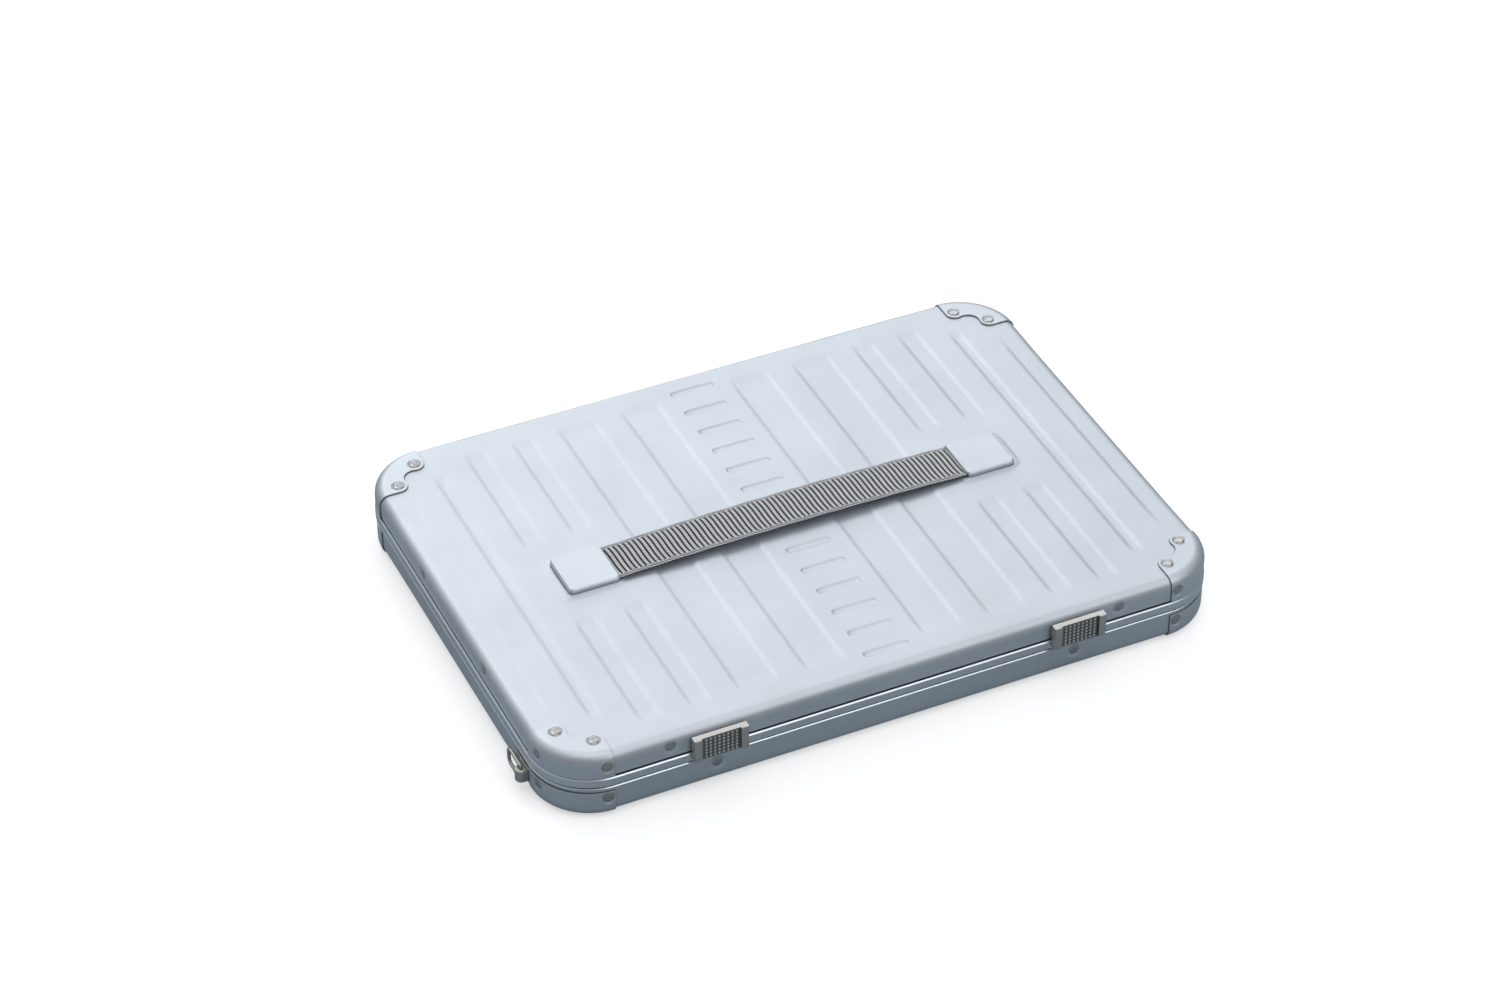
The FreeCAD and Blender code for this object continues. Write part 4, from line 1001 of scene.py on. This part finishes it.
def webbing(name):
    """Cool white and grey yarns, painted near-black as shade in the hollows between stitches, with fine fibres."""
    shader = Shader(name)
    tone = attribute(shader, "stitch_tone")
    yarn = shader.mix(tone, (0.93, 0.95, 1.0, 1), (1.0, 1.0, 1.0, 1))
    fibre = shader.noise(0.16, 2.0, (3, 1, 1))
    yarn = shader.mix(shader.ramp(fibre, 0.35, 0.65, 0.0, 0.2), yarn, (0.36, 0.38, 0.43, 1))
    # Painted shade: where the stitches sink, the colour turns near-black as the shadow between them.
    shade = shader.ramp(attribute(shader, "stitch_height"), 0.25, 0.55)
    color = shader.mix(shade, (0.006, 0.007, 0.012, 1), yarn)
    shader.set(Base_Color=color, Roughness=0.75, Sheen_Weight=0.1, Sheen_Roughness=0.4,
               Specular_IOR_Level=0.25, Normal=shader.bump(fibre, 0.03, 0.8))
    return shader.material


def attribute(shader, name):
    """Value that a mesh's points carry under a name."""
    node = shader.nodes.new("ShaderNodeAttribute")
    node.attribute_name = name
    return node.outputs["Fac"]


def lining_cloth(name):
    """Charcoal brushed lining: a fine woven ground with a soft nap."""
    shader = Shader(name)
    warp = shader.nodes.new("ShaderNodeTexWave")
    shader.put(warp, "Vector", shader.place)
    shader.put(warp, "Scale", 420.0)
    weft = shader.nodes.new("ShaderNodeTexWave")
    weft.bands_direction = "Y"
    shader.put(weft, "Vector", shader.place)
    shader.put(weft, "Scale", 420.0)
    threads = shader.math("MULTIPLY", warp.outputs["Fac"], weft.outputs["Fac"])
    nap = shader.noise(0.6, 4.0)
    patch = shader.noise(24.0, 3.0)
    ground = shader.mix(shader.ramp(patch, 0.3, 0.7), (0.020, 0.022, 0.027, 1),
                        (0.033, 0.036, 0.043, 1))
    color = shader.mix(shader.ramp(nap, 0.35, 0.75, 0.0, 0.5), ground, (0.065, 0.07, 0.08, 1))
    height = shader.math("ADD", threads, shader.math("MULTIPLY", nap, 1.5))
    shader.set(Base_Color=color, Roughness=0.92, Sheen_Weight=0.5, Sheen_Roughness=0.45,
               Specular_IOR_Level=0.2, Normal=shader.bump(height, 0.05, 0.7))
    return shader.material


def rubber(name):
    """Matt black cord with a faint bloom; the cords it dresses paint the shade in the seam gaps."""
    shader = Shader(name)
    bloom = shader.noise(5.0, 4.0)
    color = shader.mix(shader.ramp(bloom, 0.4, 0.8), (0.012, 0.012, 0.013, 1),
                       (0.03, 0.03, 0.031, 1))
    shader.set(Base_Color=color, Roughness=shader.ramp(bloom, 0.3, 0.7, 0.55, 0.7),
               Normal=shader.bump(shader.noise(0.2, 2.0), 0.01, 0.5))
    return shader.material


def make_materials():
    """Every material by the record's slot name, and the knurled pads' own."""
    return {
        "panel_aluminium": metal("panel_aluminium", PANEL_COLOR, 0.52, 0.3),
        "cap_aluminium": metal("cap_aluminium", PANEL_COLOR, 0.48, 0.25, edge=0.3),
        "frame_aluminium": metal("frame_aluminium", tint(PANEL_COLOR, 1.08), 0.3, 0.25, edge=0.1,
                                 crevice_shade=0.15),
        "rivet_metal": metal("rivet_metal", (0.50, 0.495, 0.49), 0.16, 0.2, edge=0.1),
        "nickel": metal("nickel", (0.6, 0.585, 0.56), 0.34, 0.2, edge=0.35, cloud=0.08,
                        polish_and_highlight=2.0),
        "hinge_steel": metal("hinge_steel", (0.6, 0.61, 0.62), 0.32, 0.2, (0.04, 1, 1), edge=0.25),
        "spring_steel": metal("spring_steel", (0.42, 0.43, 0.45), 0.25, 0.15, edge=0.05),
        "webbing": webbing("webbing"),
        "lining": lining_cloth("lining"),
        "seal_rubber": rubber("seal_rubber"),
        "knurling": knurled("knurling"),
    }


def dress_cad_nodes(materials):
    """Each CAD node takes the material of its slot in the record."""
    for part in frame["record"]["subparts"]:
        mesh = frame["nodes"][part["node"]].data
        mesh.materials.clear()
        mesh.materials.append(materials[part["material_slot"]])


# ---------------------------------------------------------------- stage, light and camera

def stage_floor():
    """Plain pale floor: near white to the camera, and darker in what the metal mirrors."""
    size = 6.0
    mesh = bpy.data.meshes.new("floor")
    corners = [(-size, -size), (size, -size), (size, size), (-size, size)]
    mesh.from_pydata([(x, y, CAD_LOW.z) for x, y in corners], [], [(0, 1, 2, 3)])
    floor = link_mesh("floor", mesh)
    shader = Shader("floor")
    path = shader.nodes.new("ShaderNodeLightPath")
    camera = path.outputs["Is Camera Ray"]
    seen = shader.mix(camera, (0.36, 0.415, 0.45, 1), (0.93, 0.93, 0.93, 1))
    shader.set(Base_Color=seen, Roughness=0.9, Specular_IOR_Level=0.1,
               Emission_Color=(1, 1, 1, 1), Emission_Strength=shader.math("MULTIPLY", camera, 0.5))
    mesh.materials.append(shader.material)


def studio_world():
    """White to the camera; to the object a soft dome, brightest high up at the back."""
    world = bpy.data.worlds.new("studio")
    bpy.context.scene.world = world
    world.use_nodes = True
    nodes, links = world.node_tree.nodes, world.node_tree.links
    nodes.clear()
    output = nodes.new("ShaderNodeOutputWorld")
    path = nodes.new("ShaderNodeLightPath")
    place = nodes.new("ShaderNodeTexCoord")
    dot = nodes.new("ShaderNodeVectorMath")
    dot.operation = "DOT_PRODUCT"
    dot.inputs[1].default_value = Vector((0.0, 0.5, 0.86)).normalized()
    links.new(place.outputs["Generated"], dot.inputs[0])
    upper = nodes.new("ShaderNodeMath")
    upper.operation = "MAXIMUM"
    links.new(dot.outputs["Value"], upper.inputs[0])
    upper.inputs[1].default_value = 0.0
    falloff = nodes.new("ShaderNodeMath")
    falloff.operation = "POWER"
    links.new(upper.outputs[0], falloff.inputs[0])
    falloff.inputs[1].default_value = 2.0
    spread = nodes.new("ShaderNodeMapRange")
    links.new(falloff.outputs[0], spread.inputs["Value"])
    for name, value in (("From Min", 0.0), ("From Max", 1.0), ("To Min", 0.24), ("To Max", 0.78)):
        spread.inputs[name].default_value = value
    dome = nodes.new("ShaderNodeBackground")
    dome.inputs["Color"].default_value = (0.95, 0.975, 1.0, 1)
    links.new(spread.outputs[0], dome.inputs["Strength"])
    white = nodes.new("ShaderNodeBackground")
    white.inputs["Strength"].default_value = 1.0
    choose = nodes.new("ShaderNodeMixShader")
    links.new(path.outputs["Is Camera Ray"], choose.inputs[0])
    links.new(dome.outputs[0], choose.inputs[1])
    links.new(white.outputs[0], choose.inputs[2])
    links.new(choose.outputs[0], output.inputs["Surface"])


def soft_light(name, place, target, size, watts):
    """Rectangular soft box, given by its width and height, that faces a target."""
    data = bpy.data.lights.new(name, "AREA")
    data.shape = "RECTANGLE"
    data.size, data.size_y = size
    data.energy = watts
    light = bpy.data.objects.new(name, data)
    bpy.context.scene.collection.objects.link(light)
    light.location = place
    light.rotation_euler = (Vector(target) - Vector(place)).to_track_quat("-Z", "Y").to_euler()


def studio_camera(centre):
    """Camera at the reference view, in front and to the left of the case."""
    azimuth, elevation, roll = math.radians(-24.64), math.radians(38.64), math.radians(0.31)
    distance, lens = 2.0682, 99.9
    aim = centre + Vector((-0.0018, 0.0374, 0.0))
    back = Vector((math.sin(azimuth) * math.cos(elevation),
                   -math.cos(azimuth) * math.cos(elevation), math.sin(elevation)))
    data = bpy.data.cameras.new("camera")
    data.lens = lens
    camera = bpy.data.objects.new("camera", data)
    bpy.context.scene.collection.objects.link(camera)
    turn = (-back).to_track_quat("-Z", "Y") @ Matrix.Rotation(-roll, 3, "Z").to_quaternion()
    camera.rotation_euler = turn.to_euler()
    camera.location = aim + back * distance
    bpy.context.scene.camera = camera


def build_stage():
    centre = Vector(((CAD_LOW.x + CAD_HIGH.x) / 2, 0.0, 0.018))
    stage_floor()
    studio_world()
    soft_light("rear_left", (-0.2, 1.4, 1.45), centre, (1.0, 0.9), 3.2)
    soft_light("rear_right", (0.95, 1.4, 1.2), centre, (0.9, 0.8), 1.9)
    soft_light("overhead", (0.0, -0.35, 1.85), centre, (1.6, 0.6), 3)
    soft_light("front_high", (0.62, -1.19, 1.37), centre, (1.5, 0.5), 4)
    soft_light("rear_low", (0.35, 1.95, 0.45), centre, (0.7, 0.6), 2.2)
    studio_camera(centre)
    bpy.context.scene.view_settings.view_transform = "Standard"


# ---------------------------------------------------------------- the whole case

def build_case():
    materials = make_materials()
    dress_cad_nodes(materials)
    lid_pan(materials["panel_aluminium"])
    base_pan(materials["panel_aluminium"])
    all_rivets(materials["rivet_metal"])
    hand_strap(materials["webbing"])
    for name in SIDES:
        latch_grip(name, materials["knurling"])
        latch_spring(name, materials["spring_steel"])
    seam_shadow_cords(materials["seal_rubber"])
    build_linings(materials["lining"])


def build_linings(material):
    """Trays and pads of both halves, with the front wall cut down behind the latches."""
    lid_notches, base_notches = [], []
    for name, side in SIDES.items():
        bolt_low, bolt_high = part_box("latch_bolt_" + name)
        spring_low, spring_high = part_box("latch_spring_" + name)
        keeper_low, keeper_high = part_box("latch_keeper_" + name)
        inner = (bolt_low.x if side > 0 else bolt_high.x) / MM - side * 2.0
        outer = (spring_high.x if side > 0 else spring_low.x) / MM + side * 4.0
        lid_notches.append((sorted((inner, outer)), 2.0))
        inner = (keeper_low.x if side > 0 else keeper_high.x) / MM - side * 2.0
        outer = (bolt_high.x if side > 0 else bolt_low.x) / MM + side * 3.0
        base_notches.append((sorted((inner, outer)), 5.2))
    lining_tray("lid_lining_tray", "lid_liner", "lid", False, lid_notches, material)
    lining_tray("base_lining_tray", "base_liner", "base", True, base_notches, material)
    lining_pad("lid_lining_pad", "lid_liner", "lid", False, material)
    lining_pad("base_lining_pad", "base_liner", "base", True, material)


build_case()
build_stage()
